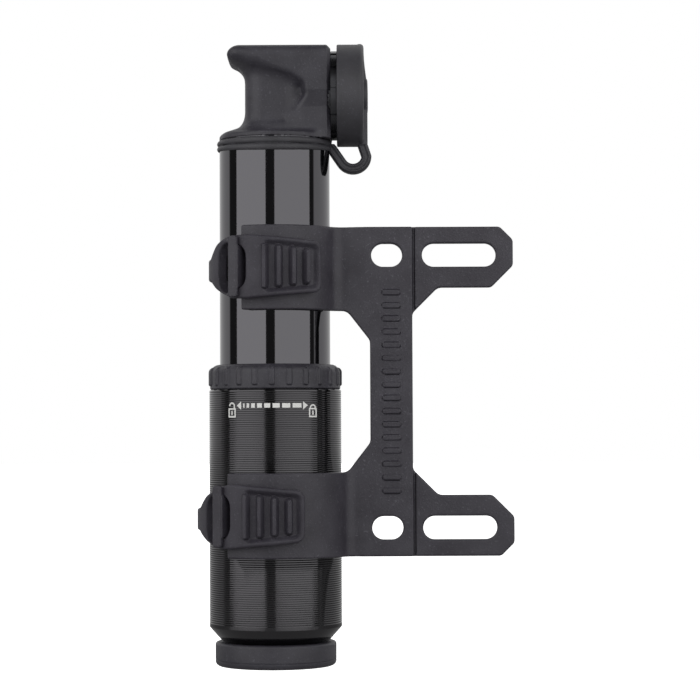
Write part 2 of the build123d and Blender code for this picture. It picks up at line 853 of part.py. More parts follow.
save(handle_sleeve.part, "handle_sleeve")

with BuildPart() as sleeve_bushing:
    revolve(
        tube(
            barrel_radius + running_gap,
            bushing_radius - 0.02,
            sleeve_top - bushing_length + 0.02,
            sleeve_top + 0.18,
        ),
        axis=pump_axis,
    )
save(sleeve_bushing.part, "sleeve_bushing")

with BuildPart() as handle_bulkhead:
    revolve(
        tube(rod_bore_radius + 0.1, sleeve_inner_radius - 0.02, shoulder_height, bulkhead_top),
        axis=pump_axis,
    )
save(handle_bulkhead.part, "handle_bulkhead")

with BuildPart() as rod_screw:
    revolve(
        tube(0, screw_head_radius, shoulder_height - screw_head_height, shoulder_height),
        axis=pump_axis,
    )
    revolve(
        tube(0, rod_bore_radius - 0.02, shoulder_height, shoulder_height + screw_length),
        axis=pump_axis,
    )
    with BuildSketch(level(shoulder_height - screw_head_height)):
        RegularPolygon(radius=2.3, side_count=6)
    extrude(amount=1.6, mode=Mode.SUBTRACT)
save(rod_screw.part, "rod_screw")

with BuildPart() as end_cap:
    spigot_top = sleeve_bottom + end_cap_spigot
    revolve(
        turned(
            section,
            (0, end_cap_bottom),
            (end_cap_radius, end_cap_bottom),
            (end_cap_radius, sleeve_bottom - 0.05),
            (shoulder_radius - 0.05, sleeve_bottom - 0.05),
            (shoulder_radius - 0.05, spigot_top),
            (screw_head_radius + 1, spigot_top),
            (screw_head_radius + 1, end_cap_bottom + end_cap_floor),
            (0, end_cap_bottom + end_cap_floor),
        ),
        axis=pump_axis,
    )
    rims = end_cap.edges().filter_by(GeomType.CIRCLE).filter_by(lambda rim: rim.radius > shoulder_radius)
    fillet(rims.sort_by(Axis.Z)[0], radius=end_cap_foot_round)
    fillet(rims.sort_by(Axis.Z)[-1], radius=end_cap_rim_round)
save(end_cap.part, "end_cap")

# ---------------------------------------------------------------- lock collar
with BuildPart() as lock_collar:
    rim = collar_radius - collar_rib_rise
    collar_bottom = sleeve_top + 0.05
    revolve(
        turned(
            section,
            (neck_radius + running_gap, collar_bottom),
            (rim, collar_bottom),
            (rim, collar_top - 1.0),
            (rim - 1.0, collar_top),
            (upper_clip_radius, collar_top),
            (upper_clip_radius, collar_top - collar_lip),
            (neck_radius + running_gap, collar_top - collar_lip),
            (neck_radius + running_gap, sleeve_top + collar_groove_top - 0.1),
            (neck_radius - neck_groove_depth + 0.1, sleeve_top + collar_groove_top - 0.1),
            (neck_radius - neck_groove_depth + 0.1, sleeve_top + collar_groove_low + 0.1),
            (neck_radius + running_gap, sleeve_top + collar_groove_low + 0.1),
        ),
        axis=pump_axis,
    )
    for rib in range(collar_rib_count):
        angle = collar_rib_phase + rib * 360 / collar_rib_count
        with BuildSketch(outward(rim - 0.2, angle, collar_bottom + collar_rib_low + collar_rib_length / 2)):
            SlotOverall(collar_rib_length, collar_rib_width, rotation=90)
        extrude(amount=collar_rib_rise + 0.2)
save(lock_collar.part, "lock_collar")

with BuildPart() as wiper_ring:
    revolve(
        tube(barrel_radius + running_gap, neck_radius - 0.1, neck_top + 0.03, collar_top - collar_lip - 0.1),
        axis=pump_axis,
    )
save(wiper_ring.part, "wiper_ring")
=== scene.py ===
"""Dresses the hand pump and its frame bracket: shaped skins, finishes, studio light and camera.

Lengths in the classes are millimetres in the part's own frame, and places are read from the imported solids.
Each shaped piece is drawn as a distance field, negative inside the piece, and a mesh of even faces is wrapped
round it.
"""

import logging
import math
from collections.abc import Callable, Sequence
from dataclasses import dataclass
from enum import Enum

import bpy
import numpy as np
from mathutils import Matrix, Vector


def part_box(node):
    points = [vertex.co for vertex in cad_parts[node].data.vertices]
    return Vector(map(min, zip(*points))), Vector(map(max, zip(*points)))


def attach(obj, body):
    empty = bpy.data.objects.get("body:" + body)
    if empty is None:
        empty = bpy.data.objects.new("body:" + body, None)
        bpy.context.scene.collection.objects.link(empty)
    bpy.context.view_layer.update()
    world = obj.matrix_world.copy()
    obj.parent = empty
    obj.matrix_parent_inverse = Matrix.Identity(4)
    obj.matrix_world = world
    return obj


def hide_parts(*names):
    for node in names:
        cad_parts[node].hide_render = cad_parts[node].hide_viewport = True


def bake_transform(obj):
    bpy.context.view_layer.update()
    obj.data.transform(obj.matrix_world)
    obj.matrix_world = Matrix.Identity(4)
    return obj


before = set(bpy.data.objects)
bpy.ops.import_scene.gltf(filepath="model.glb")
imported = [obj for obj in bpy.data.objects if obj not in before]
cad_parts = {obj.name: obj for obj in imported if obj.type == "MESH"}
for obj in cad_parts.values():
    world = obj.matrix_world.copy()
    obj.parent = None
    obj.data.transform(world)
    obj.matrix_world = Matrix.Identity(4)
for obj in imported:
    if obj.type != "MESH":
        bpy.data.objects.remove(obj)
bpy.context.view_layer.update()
log = logging.getLogger("pump")

MM = 0.001
FAR = 1e12
TINY = 1e-9
# what a noise texture mostly stays between
NOISE_LOW, NOISE_HIGH = 0.3, 0.7
Grid = np.ndarray
Field = Callable[[Grid, Grid, Grid], Grid]


# ---------------------------------------------------------------- distance fields
def joined(a: Grid, b: Grid, radius: float) -> Grid:
    """Union of two forms with a fillet of about radius where they meet."""
    share = np.clip(0.5 + 0.5 * (b - a) / radius, 0, 1)
    return b + (a - b) * share - radius * share * (1 - share)


def carved(a: Grid, b: Grid, radius: float) -> Grid:
    """Form a with form b taken out of it, the edge between them softened."""
    return -joined(-a, b, radius)


def crossed(a: Grid, b: Grid, radius: float) -> Grid:
    """The room that both forms share, with its edge rounded.

    Args:
        a: distances to one form.
        b: distances to the other form.
        radius: radius of the rounded edge.

    Returns:
        Distances to what the two forms share.
    """
    u = np.maximum(a + radius, 0)
    v = np.maximum(b + radius, 0)
    return np.hypot(u, v) + np.minimum(np.maximum(a, b) + radius, 0) - radius


def chamfered(a: Grid, b: Grid, leg: float) -> Grid:
    """Where both forms are, with their common edge cut at 45 degrees."""
    return np.maximum(np.maximum(a, b), (a + b + leg) * math.sqrt(0.5))


def between(value: Grid, low: float, high: float) -> Grid:
    """Distance to the slab between two parallel planes."""
    return np.abs(value - (low + high) / 2) - (high - low) / 2


def ramp(low: float, high: float, value: Grid) -> Grid:
    """Smooth step from 0 at low to 1 at high."""
    share = np.clip((value - low) / (high - low), 0, 1)
    return share * share * (3 - 2 * share)


def polygon_distance(points: np.ndarray, u: Grid, v: Grid) -> Grid:
    """Signed distance to a closed outline in a plane.

    Args:
        points: corners of the outline, one row each.
        u: first coordinate of the places asked about.
        v: second coordinate of the places asked about.

    Returns:
        Distances, negative inside the outline.
    """
    best = np.full(np.broadcast(u, v).shape, FAR)
    inside = np.zeros(best.shape, bool)
    for (au, av), (bu, bv) in zip(points, np.roll(points, -1, axis=0)):
        eu, ev = bu - au, bv - av
        share = np.clip(((u - au) * eu + (v - av) * ev) / (eu * eu + ev * ev), 0, 1)
        best = np.minimum(best, (u - au - share * eu) ** 2 + (v - av - share * ev) ** 2)
        if av != bv:
            inside ^= ((av > v) != (bv > v)) & (u < eu * (v - av) / ev + au)
    return np.where(inside, -1, 1) * np.sqrt(best)


def path_distance(points: np.ndarray, u: Grid, v: Grid) -> Grid:
    """Distance from places in a plane to an open line.

    Args:
        points: points that the line runs through, one row each.
        u: first coordinate of the places asked about.
        v: second coordinate of the places asked about.

    Returns:
        Distances, never negative.
    """
    best = np.full(np.broadcast(u, v).shape, FAR)
    for (au, av), (bu, bv) in zip(points[:-1], points[1:]):
        eu, ev = bu - au, bv - av
        share = np.clip(((u - au) * eu + (v - av) * ev) / (eu * eu + ev * ev), 0, 1)
        best = np.minimum(best, (u - au - share * eu) ** 2 + (v - av - share * ev) ** 2)
    return np.sqrt(best)


def rounded_corners(corners: Sequence[tuple[float, float, float]], steps: int = 8) -> np.ndarray:
    """Outline of straight runs whose corners are rounded, each to its own radius.

    Args:
        corners: rows of two coordinates and a corner radius.
        steps: points along each rounded corner.

    Returns:
        Points of the outline, one row each.
    """
    spots = np.array([c[:2] for c in corners], float)
    made = []
    for index, (u, v, radius) in enumerate(corners):
        here = np.array((u, v))
        before = spots[index - 1] - here
        after = spots[(index + 1) % len(spots)] - here
        room = min(np.linalg.norm(before), np.linalg.norm(after))
        before = before / np.linalg.norm(before)
        after = after / np.linalg.norm(after)
        half = math.acos(float(np.clip(before @ after, -1, 1))) / 2
        reach = min(radius / math.tan(half), 0.49 * room)
        for share in np.linspace(0, 1, steps):
            low, high = here + before * reach, here + after * reach
            made.append((1 - share) ** 2 * low + 2 * share * (1 - share) * here + share**2 * high)
    return np.array(made)


class Table:
    """Distances of a plane figure worked out once on a fine grid and read between its points."""

    def __init__(
        self,
        figure: Callable[[Grid, Grid], Grid],
        low: Sequence[float],
        high: Sequence[float],
        step: float = 0.15,
    ) -> None:
        """Works the figure out on its grid.

        Args:
            figure: distances to the figure, for two plane coordinates.
            low: lowest corner of the grid.
            high: highest corner of the grid.
            step: spacing of the grid.
        """
        self.low = np.array(low, float)
        self.step = step
        count = np.ceil((np.array(high, float) - self.low) / step).astype(int) + 1
        u = self.low[0] + step * np.arange(count[0])
        v = self.low[1] + step * np.arange(count[1])
        self.values = figure(u[:, None], v[None, :])

    def __call__(self, u: Grid, v: Grid) -> Grid:
        """Reads the distances at places in the plane.

        Args:
            u: first coordinate of the places.
            v: second coordinate of the places.

        Returns:
            Distances, read evenly between the grid's points.
        """
        rows, columns = np.array(self.values.shape) - 1.001
        i = np.clip((u - self.low[0]) / self.step, 0, rows)
        j = np.clip((v - self.low[1]) / self.step, 0, columns)
        i0, j0 = i.astype(int), j.astype(int)
        fi, fj = i - i0, j - j0
        near = self.values[i0, j0] * (1 - fj) + self.values[i0, j0 + 1] * fj
        far = self.values[i0 + 1, j0] * (1 - fj) + self.values[i0 + 1, j0 + 1] * fj
        return near * (1 - fi) + far * fi


@dataclass
class Skin:
    """Mesh wrapped round a form: points and normals in millimetres, and four-sided faces."""

    points: np.ndarray
    normals: np.ndarray
    faces: np.ndarray

    def part(self, keep: np.ndarray) -> "Skin":
        """Takes some of the faces, with only the points that they use.

        Args:
            keep: for each face, whether it is taken.

        Returns:
            The smaller skin.
        """
        faces = self.faces[keep]
        used, index = np.unique(faces, return_inverse=True)
        return Skin(self.points[used], self.normals[used], index.reshape(faces.shape))


def slope(form: Field, spots: np.ndarray, reach: float = 0.04) -> np.ndarray:
    """Gradient of a distance field.

    Args:
        form: the field.
        spots: places, one row each.
        reach: how far to either side the field is read.

    Returns:
        The gradient at each place, one row each.
    """
    x, y, z = spots.T
    return np.stack(
        (
            form(x + reach, y, z) - form(x - reach, y, z),
            form(x, y + reach, z) - form(x, y - reach, z),
            form(x, y, z + reach) - form(x, y, z - reach),
        ),
        axis=1,
    ) / (2 * reach)


def settled(form: Field, spots: np.ndarray, pitch: float, rounds: int) -> np.ndarray:
    """Moves places along the field's slope until they lie on the form's surface.

    Args:
        form: the field.
        spots: places, one row each.
        pitch: the longest step that a place takes.
        rounds: how often each place is moved.

    Returns:
        The moved places, one row each.
    """
    least_slope = 0.05
    for _ in range(rounds):
        away = form(*spots.T)
        lean = slope(form, spots)
        steep = np.maximum((lean**2).sum(axis=1), least_slope)
        shift = -away[:, None] * lean / steep[:, None]
        size = np.linalg.norm(shift, axis=1)
        spots = spots + shift * np.minimum(1, pitch / np.maximum(size, TINY))[:, None]
    return spots


def wrapped(form: Field, low: Sequence[float], high: Sequence[float], pitch: float) -> Skin:
    """Wraps a closed mesh of even four-sided faces round a form.

    Args:
        form: distance field, negative inside.
        low: lowest corner of the room that holds the form.
        high: highest corner of that room.
        pitch: size of a face.

    Returns:
        The skin, with the field's own slope as its normals.
    """
    lines = [np.arange(a - 2 * pitch, b + 3 * pitch, pitch) for a, b in zip(low, high)]
    inside = form(lines[0][:, None, None], lines[1][None, :, None], lines[2][None, None, :]) < 0
    counts = sum(
        inside[i : i - 1 or None, j : j - 1 or None, k : k - 1 or None].astype(np.int8)
        for i in (0, 1)
        for j in (0, 1)
        for k in (0, 1)
    )
    mixed = (counts > 0) & (counts < 8)
    index = np.full(mixed.shape, -1)
    index[mixed] = np.arange(mixed.sum())
    where = np.argwhere(mixed)
    spots = np.stack([lines[a][where[:, a]] + pitch / 2 for a in range(3)], axis=1)
    faces = []
    for axis in range(3):
        other, third = (axis + 1) % 3, (axis + 2) % 3
        here = np.take(inside, range(inside.shape[axis] - 1), axis)
        there = np.take(inside, range(1, inside.shape[axis]), axis)
        edges = np.argwhere(here != there)
        edges = edges[(edges[:, other] > 0) & (edges[:, third] > 0)]
        edges = edges[(edges[:, other] < mixed.shape[other]) & (edges[:, third] < mixed.shape[third])]
        ring = []
        for a, b in ((1, 1), (0, 1), (0, 0), (1, 0)):
            cell = edges.copy()
            cell[:, other] -= a
            cell[:, third] -= b
            ring.append(index[cell[:, 0], cell[:, 1], cell[:, 2]])
        quads = np.stack(ring, axis=1)
        outward = here[edges[:, 0], edges[:, 1], edges[:, 2]]
        quads[~outward] = quads[~outward][:, ::-1]
        faces.append(quads)
    faces = np.concatenate(faces)
    spots = settled(form, spots, pitch, 3)
    ends = np.concatenate([faces[:, [a, (a + 1) % 4]] for a in range(4)])
    for _ in range(2):
        total = np.zeros_like(spots)
        links = np.zeros(len(spots))
        np.add.at(total, ends[:, 0], spots[ends[:, 1]])
        np.add.at(links, ends[:, 0], 1)
        spots = 0.5 * spots + 0.5 * total / links[:, None]
        spots = settled(form, spots, pitch, 2)
    normals = slope(form, spots, 0.02)
    normals /= np.maximum(np.linalg.norm(normals, axis=1), TINY)[:, None]
    return Skin(spots, normals, faces)


def turned(profile: Sequence[tuple[float, float]], segments: int = 192) -> Skin:
    """Turns a closed profile of radii and heights about the Z axis at the origin.

    Args:
        profile: rows of a radius and a height, round the section.
        segments: faces round the turned piece.

    Returns:
        The skin, with empty normals, so that its shading follows its faces.
    """
    angle = np.linspace(0, 2 * math.pi, segments, endpoint=False)
    spots = np.array(profile, float)
    points = np.stack(
        (
            spots[:, 0][:, None] * np.cos(angle),
            spots[:, 0][:, None] * np.sin(angle),
            np.repeat(spots[:, 1][:, None], segments, axis=1),
        ),
        axis=2,
    ).reshape(-1, 3)
    rows = len(spots)
    here = np.arange(rows)[:, None] * segments + np.arange(segments)[None, :]
    there = np.roll(here, -1, axis=0)
    quads = np.stack((here, np.roll(here, -1, axis=1), np.roll(there, -1, axis=1), there), axis=2)
    return Skin(points, np.zeros((0, 3)), quads.reshape(-1, 4))


# ---------------------------------------------------------------- finishes
def linear(colour: str) -> tuple[float, float, float, float]:
    """Turns a written colour into the linear one that shaders take.

    Args:
        colour: sRGB value as a hash sign and six hex digits.

    Returns:
        Linear red, green and blue, and an alpha of 1.
    """
    parts = [int(colour[i : i + 2], 16) / 255 for i in (1, 3, 5)]
    shares = [c / 12.92 if c <= 0.04045 else ((c + 0.055) / 1.055) ** 2.4 for c in parts]
    return (*shares, 1.0)


def put(
    tree: bpy.types.NodeTree,
    kind: str,
    inputs: dict[str | int, object],
    **settings: object,
) -> bpy.types.Node:
    """Adds a node with its settings, and sets or links its inputs.

    Args:
        tree: the node tree it goes into.
        kind: the node's type name.
        inputs: values, or other nodes' outputs, by the name or number of the socket.
        **settings: the node's own properties.

    Returns:
        The new node.
    """
    made = tree.nodes.new(kind)
    for name, value in settings.items():
        setattr(made, name, value)
    for name, value in inputs.items():
        if isinstance(value, bpy.types.NodeSocket):
            tree.links.new(value, made.inputs[name])
        else:
            made.inputs[name].default_value = value
    return made


def blank_tree(owner: bpy.types.Material | bpy.types.World) -> bpy.types.NodeTree:
    """Gives a material or a world its own node tree, and empties it.

    Args:
        owner: the material or the world.

    Returns:
        The empty tree.
    """
    owner.use_nodes = True
    owner.node_tree.nodes.clear()
    return owner.node_tree


@dataclass(frozen=True)
class Moulded:
    """Moulded polymer: an even body colour with the fine grain of the mould's walls.

    The grain shows as pale flecks, as a change of gloss and as low bumps. Grain and depth are millimetres.
    """

    name: str
    colour: str
    pale: str
    roughness: float
    grain: float = 0.5
    depth: float = 0.06
    fleck: float = 0.2
    specular: float = 0.5
    cloud_size: float = 6.0
    cloud_share: float = 0.1
    gloss_spread: float = 0.05
    # the finest grains, by how high the noise stands there
    fleck_from: tuple[float, float] = (0.6, 0.76)

    def material(self) -> bpy.types.Material:
        """Builds the material.

        Returns:
            The new material.
        """
        made = bpy.data.materials.new(self.name)
        tree = blank_tree(made)
        place = put(tree, "ShaderNodeTexCoord", {}).outputs["Object"]
        grain = put(
            tree,
            "ShaderNodeTexNoise",
            {"Vector": place, "Scale": 1 / (self.grain * MM), "Detail": 2.0, "Roughness": 0.6},
        )
        cloud = put(
            tree,
            "ShaderNodeTexNoise",
            {"Vector": place, "Scale": 1 / (self.cloud_size * MM), "Detail": 2.0},
        )
        fleck = put(
            tree,
            "ShaderNodeMapRange",
            {
                "Value": grain.outputs["Fac"],
                "From Min": self.fleck_from[0],
                "From Max": self.fleck_from[1],
                "To Max": self.fleck,
            },
        )
        drift = put(
            tree,
            "ShaderNodeMapRange",
            {
                "Value": cloud.outputs["Fac"],
                "From Min": NOISE_LOW,
                "From Max": NOISE_HIGH,
                "To Max": self.cloud_share,
            },
        )
        share = put(tree, "ShaderNodeMath", {0: fleck.outputs[0], 1: drift.outputs[0]}, operation="ADD")
        tone = put(
            tree,
            "ShaderNodeMix",
            {0: share.outputs[0], 6: linear(self.colour), 7: linear(self.pale)},
            data_type="RGBA",
        )
        rough = put(
            tree,
            "ShaderNodeMapRange",
            {
                "Value": grain.outputs["Fac"],
                "From Min": NOISE_LOW,
                "From Max": NOISE_HIGH,
                "To Min": self.roughness - self.gloss_spread,
                "To Max": self.roughness + self.gloss_spread,
            },
        )
        bump = put(
            tree,
            "ShaderNodeBump",
            {"Height": grain.outputs["Fac"], "Strength": 1.0, "Distance": self.depth * MM},
        )
        shader = put(
            tree,
            "ShaderNodeBsdfPrincipled",
            {
                "Base Color": tone.outputs[2],
                "Roughness": rough.outputs[0],
                "Specular IOR Level": self.specular,
                "Normal": bump.outputs[0],
            },
        )
        put(tree, "ShaderNodeOutputMaterial", {"Surface": shader.outputs[0]})
        return made


@dataclass(frozen=True)
class Metal:
    """Machined metal, bare or anodised: a tinted mirror blurred by its fine surface lines.

    Line and depth are the spacing and height of those lines, in millimetres.
    """

    name: str
    colour: str
    roughness: float
    line: float = 0.25
    depth: float = 0.0006
    spread: float = 0.03
    haze_size: float = 5.0
    stretch: float = 0.06

    def material(self) -> bpy.types.Material:
        """Builds the material.

        Returns:
            The new material.
        """
        made = bpy.data.materials.new(self.name)
        tree = blank_tree(made)
        place = put(tree, "ShaderNodeTexCoord", {}).outputs["Object"]
        along = put(tree, "ShaderNodeMapping", {"Vector": place, "Scale": (self.stretch, self.stretch, 1.0)})
        lines = put(
            tree,
            "ShaderNodeTexNoise",
            {"Vector": along.outputs[0], "Scale": 1 / (self.line * MM), "Detail": 2.0},
        )
        haze = put(
            tree,
            "ShaderNodeTexNoise",
            {"Vector": place, "Scale": 1 / (self.haze_size * MM), "Detail": 3.0},
        )
        rough = put(
            tree,
            "ShaderNodeMapRange",
            {
                "Value": haze.outputs["Fac"],
                "From Min": NOISE_LOW,
                "From Max": NOISE_HIGH,
                "To Min": self.roughness - self.spread,
                "To Max": self.roughness + self.spread,
            },
        )
        bump = put(
            tree,
            "ShaderNodeBump",
            {"Height": lines.outputs["Fac"], "Strength": 1.0, "Distance": self.depth * MM},
        )
        shader = put(
            tree,
            "ShaderNodeBsdfPrincipled",
            {
                "Base Color": linear(self.colour),
                "Metallic": 1.0,
                "Roughness": rough.outputs[0],
                "Normal": bump.outputs[0],
            },
        )
        put(tree, "ShaderNodeOutputMaterial", {"Surface": shader.outputs[0]})
        return made


class Kit(Enum):
    """The finishes of this pump, each named for its material and how its surface was made."""

    # glass-filled nylon from a spark-eroded mould: matte near-black, a fine even grain and pale fibre ends
    # (the real grain is about 0.15 mm, too fine to show, so it is drawn about three times as coarse)
    BRACKET_NYLON = Moulded("glass_filled_nylon_moulded_bracket", "#2d2a32", "#74737b", 0.5, 0.5, 0.07, 0.3)
    HEAD_NYLON = Moulded("glass_filled_nylon_moulded_head", "#2c2a31", "#706f78", 0.48, 0.5, 0.06, 0.28)
    COLLAR_NYLON = Moulded("glass_filled_nylon_moulded_collar", "#2d2b32", "#706f78", 0.46, 0.5, 0.06, 0.28)
    # thermoplastic rubber, moulded: softer and flatter than the nylon, with a dusty grain
    STRAP_RUBBER = Moulded(
        "thermoplastic_rubber_moulded_strap", "#302d35", "#74737b", 0.55, 0.45, 0.05, 0.28, 0.4
    )
    CAP_RUBBER = Moulded("thermoplastic_rubber_moulded_cap", "#313034", "#706f78", 0.5, 0.45, 0.04, 0.22)
    # nitrile rubber from a polished mould: deep black, nearly even, with a soft sheen
    SEAL_RUBBER = Moulded("nitrile_rubber_moulded_seal", "#1c1c1d", "#333335", 0.5, 0.4, 0.02, 0.1)
    # acetal turned on a lathe: black and smooth, glossier than the moulded pieces
    GUIDE_PLASTIC = Moulded("acetal_machined_guide", "#262628", "#3c3c3f", 0.35, 0.4, 0.01, 0.08)
    # aluminium tube, polished and black anodised: a smoked mirror that shows the soft panels as clear bands
    BARREL = Metal("aluminium_polished_black_anodised", "#5d5c5f", 0.06, 0.25, 0.0002, 0.015)
    # aluminium turned with fine rings and black anodised: the rings break the bands into thin bright lines
    SLEEVE = Metal("aluminium_turned_black_anodised", "#4e4d4f", 0.12, 0.25, 0.0006)
    # the chuck's ring is left as machined before its black anodising, so it mirrors only softly
    CHUCK = Metal("aluminium_machined_black_anodised", "#4a4a4d", 0.28, 0.2, 0.001)
    # drawn aluminium, clear anodised: pale silver-grey with a soft mirror
    ROD = Metal("aluminium_drawn_clear_anodised", "#a9abae", 0.24)
    # drawn spring steel, oiled: mid grey and smooth
    SPRING = Metal("spring_steel_drawn", "#8d8f92", 0.25)
    # zinc-plated steel: a slightly blue, duller silver
    SCREW = Metal("steel_zinc_plated", "#9b9da0", 0.3)
    # laser-marked oxide: the dye is burnt out, which leaves a pale chalky grey
    MARKS = Moulded("anodised_layer_laser_marked", "#dcdcd9", "#ececea", 0.6, 0.3, 0.002, 0.3)

    def dress(self, thing: bpy.types.Object) -> None:
        """Gives a piece this finish as its only material.

        Args:
            thing: the piece's object.
        """
        made = bpy.data.materials.get(self.value.name) or self.value.material()
        if not thing.material_slots:
            thing.data.materials.append(made)
        for holder in thing.material_slots:
            holder.material = made


# ---------------------------------------------------------------- places and pieces
def span(node: str) -> tuple[np.ndarray, np.ndarray]:
    """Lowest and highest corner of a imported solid, in millimetres."""
    low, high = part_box(node)
    return np.array(low) / MM, np.array(high) / MM


def middle(node: str) -> np.ndarray:
    """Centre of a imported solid's box, in millimetres."""
    low, high = span(node)
    return (low + high) / 2


AXIS = middle("barrel_tube")[:2]


def off_axis(x: Grid, y: Grid) -> tuple[Grid, Grid]:
    """Places measured from the pump's axis: to the right, and to the back."""
    return x - AXIS[0], y - AXIS[1]


def flat_figure(outline: np.ndarray, low: Sequence[float], high: Sequence[float]) -> Table:
    """Table of distances to a closed outline in a plane."""
    return Table(lambda u, v: polygon_distance(outline, u, v), low, high)


def made_piece(name: str, skin: Skin, finish: Kit, sharp: float = 0.0) -> bpy.types.Object:
    """Makes a named mesh piece from a skin.

    Args:
        name: the piece's name.
        skin: its points and faces, in millimetres.
        finish: its finish.
        sharp: angle in degrees above which edges stay sharp, for skins without normals.

    Returns:
        The new object, not yet riding on a body.
    """
    mesh = bpy.data.meshes.new(name)
    mesh.vertices.add(len(skin.points))
    mesh.vertices.foreach_set("co", (skin.points * MM).astype(np.float32).ravel())
    mesh.loops.add(skin.faces.size)
    mesh.loops.foreach_set("vertex_index", skin.faces.astype(np.int32).ravel())
    mesh.polygons.add(len(skin.faces))
    mesh.polygons.foreach_set("loop_start", np.arange(0, skin.faces.size, 4, dtype=np.int32))
    mesh.update(calc_edges=True)
    mesh.validate()
    mesh.shade_smooth()
    if len(skin.normals):
        mesh.normals_split_custom_set_from_vertices(skin.normals.tolist())
    elif sharp:
        mesh.set_sharp_from_angle(angle=math.radians(sharp))
    thing = bpy.data.objects.new(name, mesh)
    bpy.context.scene.collection.objects.link(thing)
    finish.dress(thing)
    return thing


def centred(skin: Skin) -> Skin:
    """A turned skin moved from the origin onto the pump's axis."""
    return Skin(skin.points + np.array((*AXIS, 0.0)), skin.normals, skin.faces)


# ---------------------------------------------------------------- bracket
@dataclass
class Clip:
    """One arm of the bracket with its hook, seen from above: angles run from the front to the left.

    End is the angle of the arm's tip and turn the angle, to the right, at which it leaves the pump. Bend is
    the radius of its hollow bend and leave the slope at which it climbs from there to the strip.
    """

    name: str
    end: float
    turn: float
    bend: float
    leave: float = 12.0
    arm: float = 2.3
    strap: float = 2.3
    gap: float = 0.3
    hook_gap: float = 0.15
    overhang: float = 0.45

    def __post_init__(self) -> None:
        """Reads the clip's circle and height from its strap's fixed length, and places what lies on it."""
        low, high = span(f"strap_band_{self.name}")
        self.radius = high[1] - AXIS[1] - self.strap
        self.height = (low[2] + high[2]) / 2
        self.low = self.radius + self.strap / 2
        self.high = self.low + self.arm + self.gap
        self.bar_seat = self.radius + self.arm + self.gap + self.strap + self.hook_gap
        self.bar_angle = self.end + math.degrees(self.overhang / (self.radius + self.arm + self.gap))

    def polar(self, x: Grid, y: Grid) -> tuple[Grid, Grid]:
        """Finds places round the pump.

        Args:
            x: places across.
            y: places in depth.

        Returns:
            Angle from the front to the left, in degrees from -90 to 270, and distance from the axis.
        """
        across, deep = off_axis(x, y)
        angle = np.degrees(np.arctan2(-across, -deep))
        return np.where(angle < -90, angle + 360, angle), np.hypot(across, deep)

    def aside(self, x: Grid, y: Grid, angle: float) -> tuple[Grid, Grid]:
        """Finds places beside one spot of the clip's circle.

        Args:
            x: places across.
            y: places in depth.
            angle: the spot's angle from the front to the left.

        Returns:
            Coordinates along the circle, and out from its middle.
        """
        cosine, sine = math.cos(math.radians(angle)), math.sin(math.radians(angle))
        across, deep = off_axis(x, y)
        return across * cosine - deep * sine, -across * sine - deep * cosine


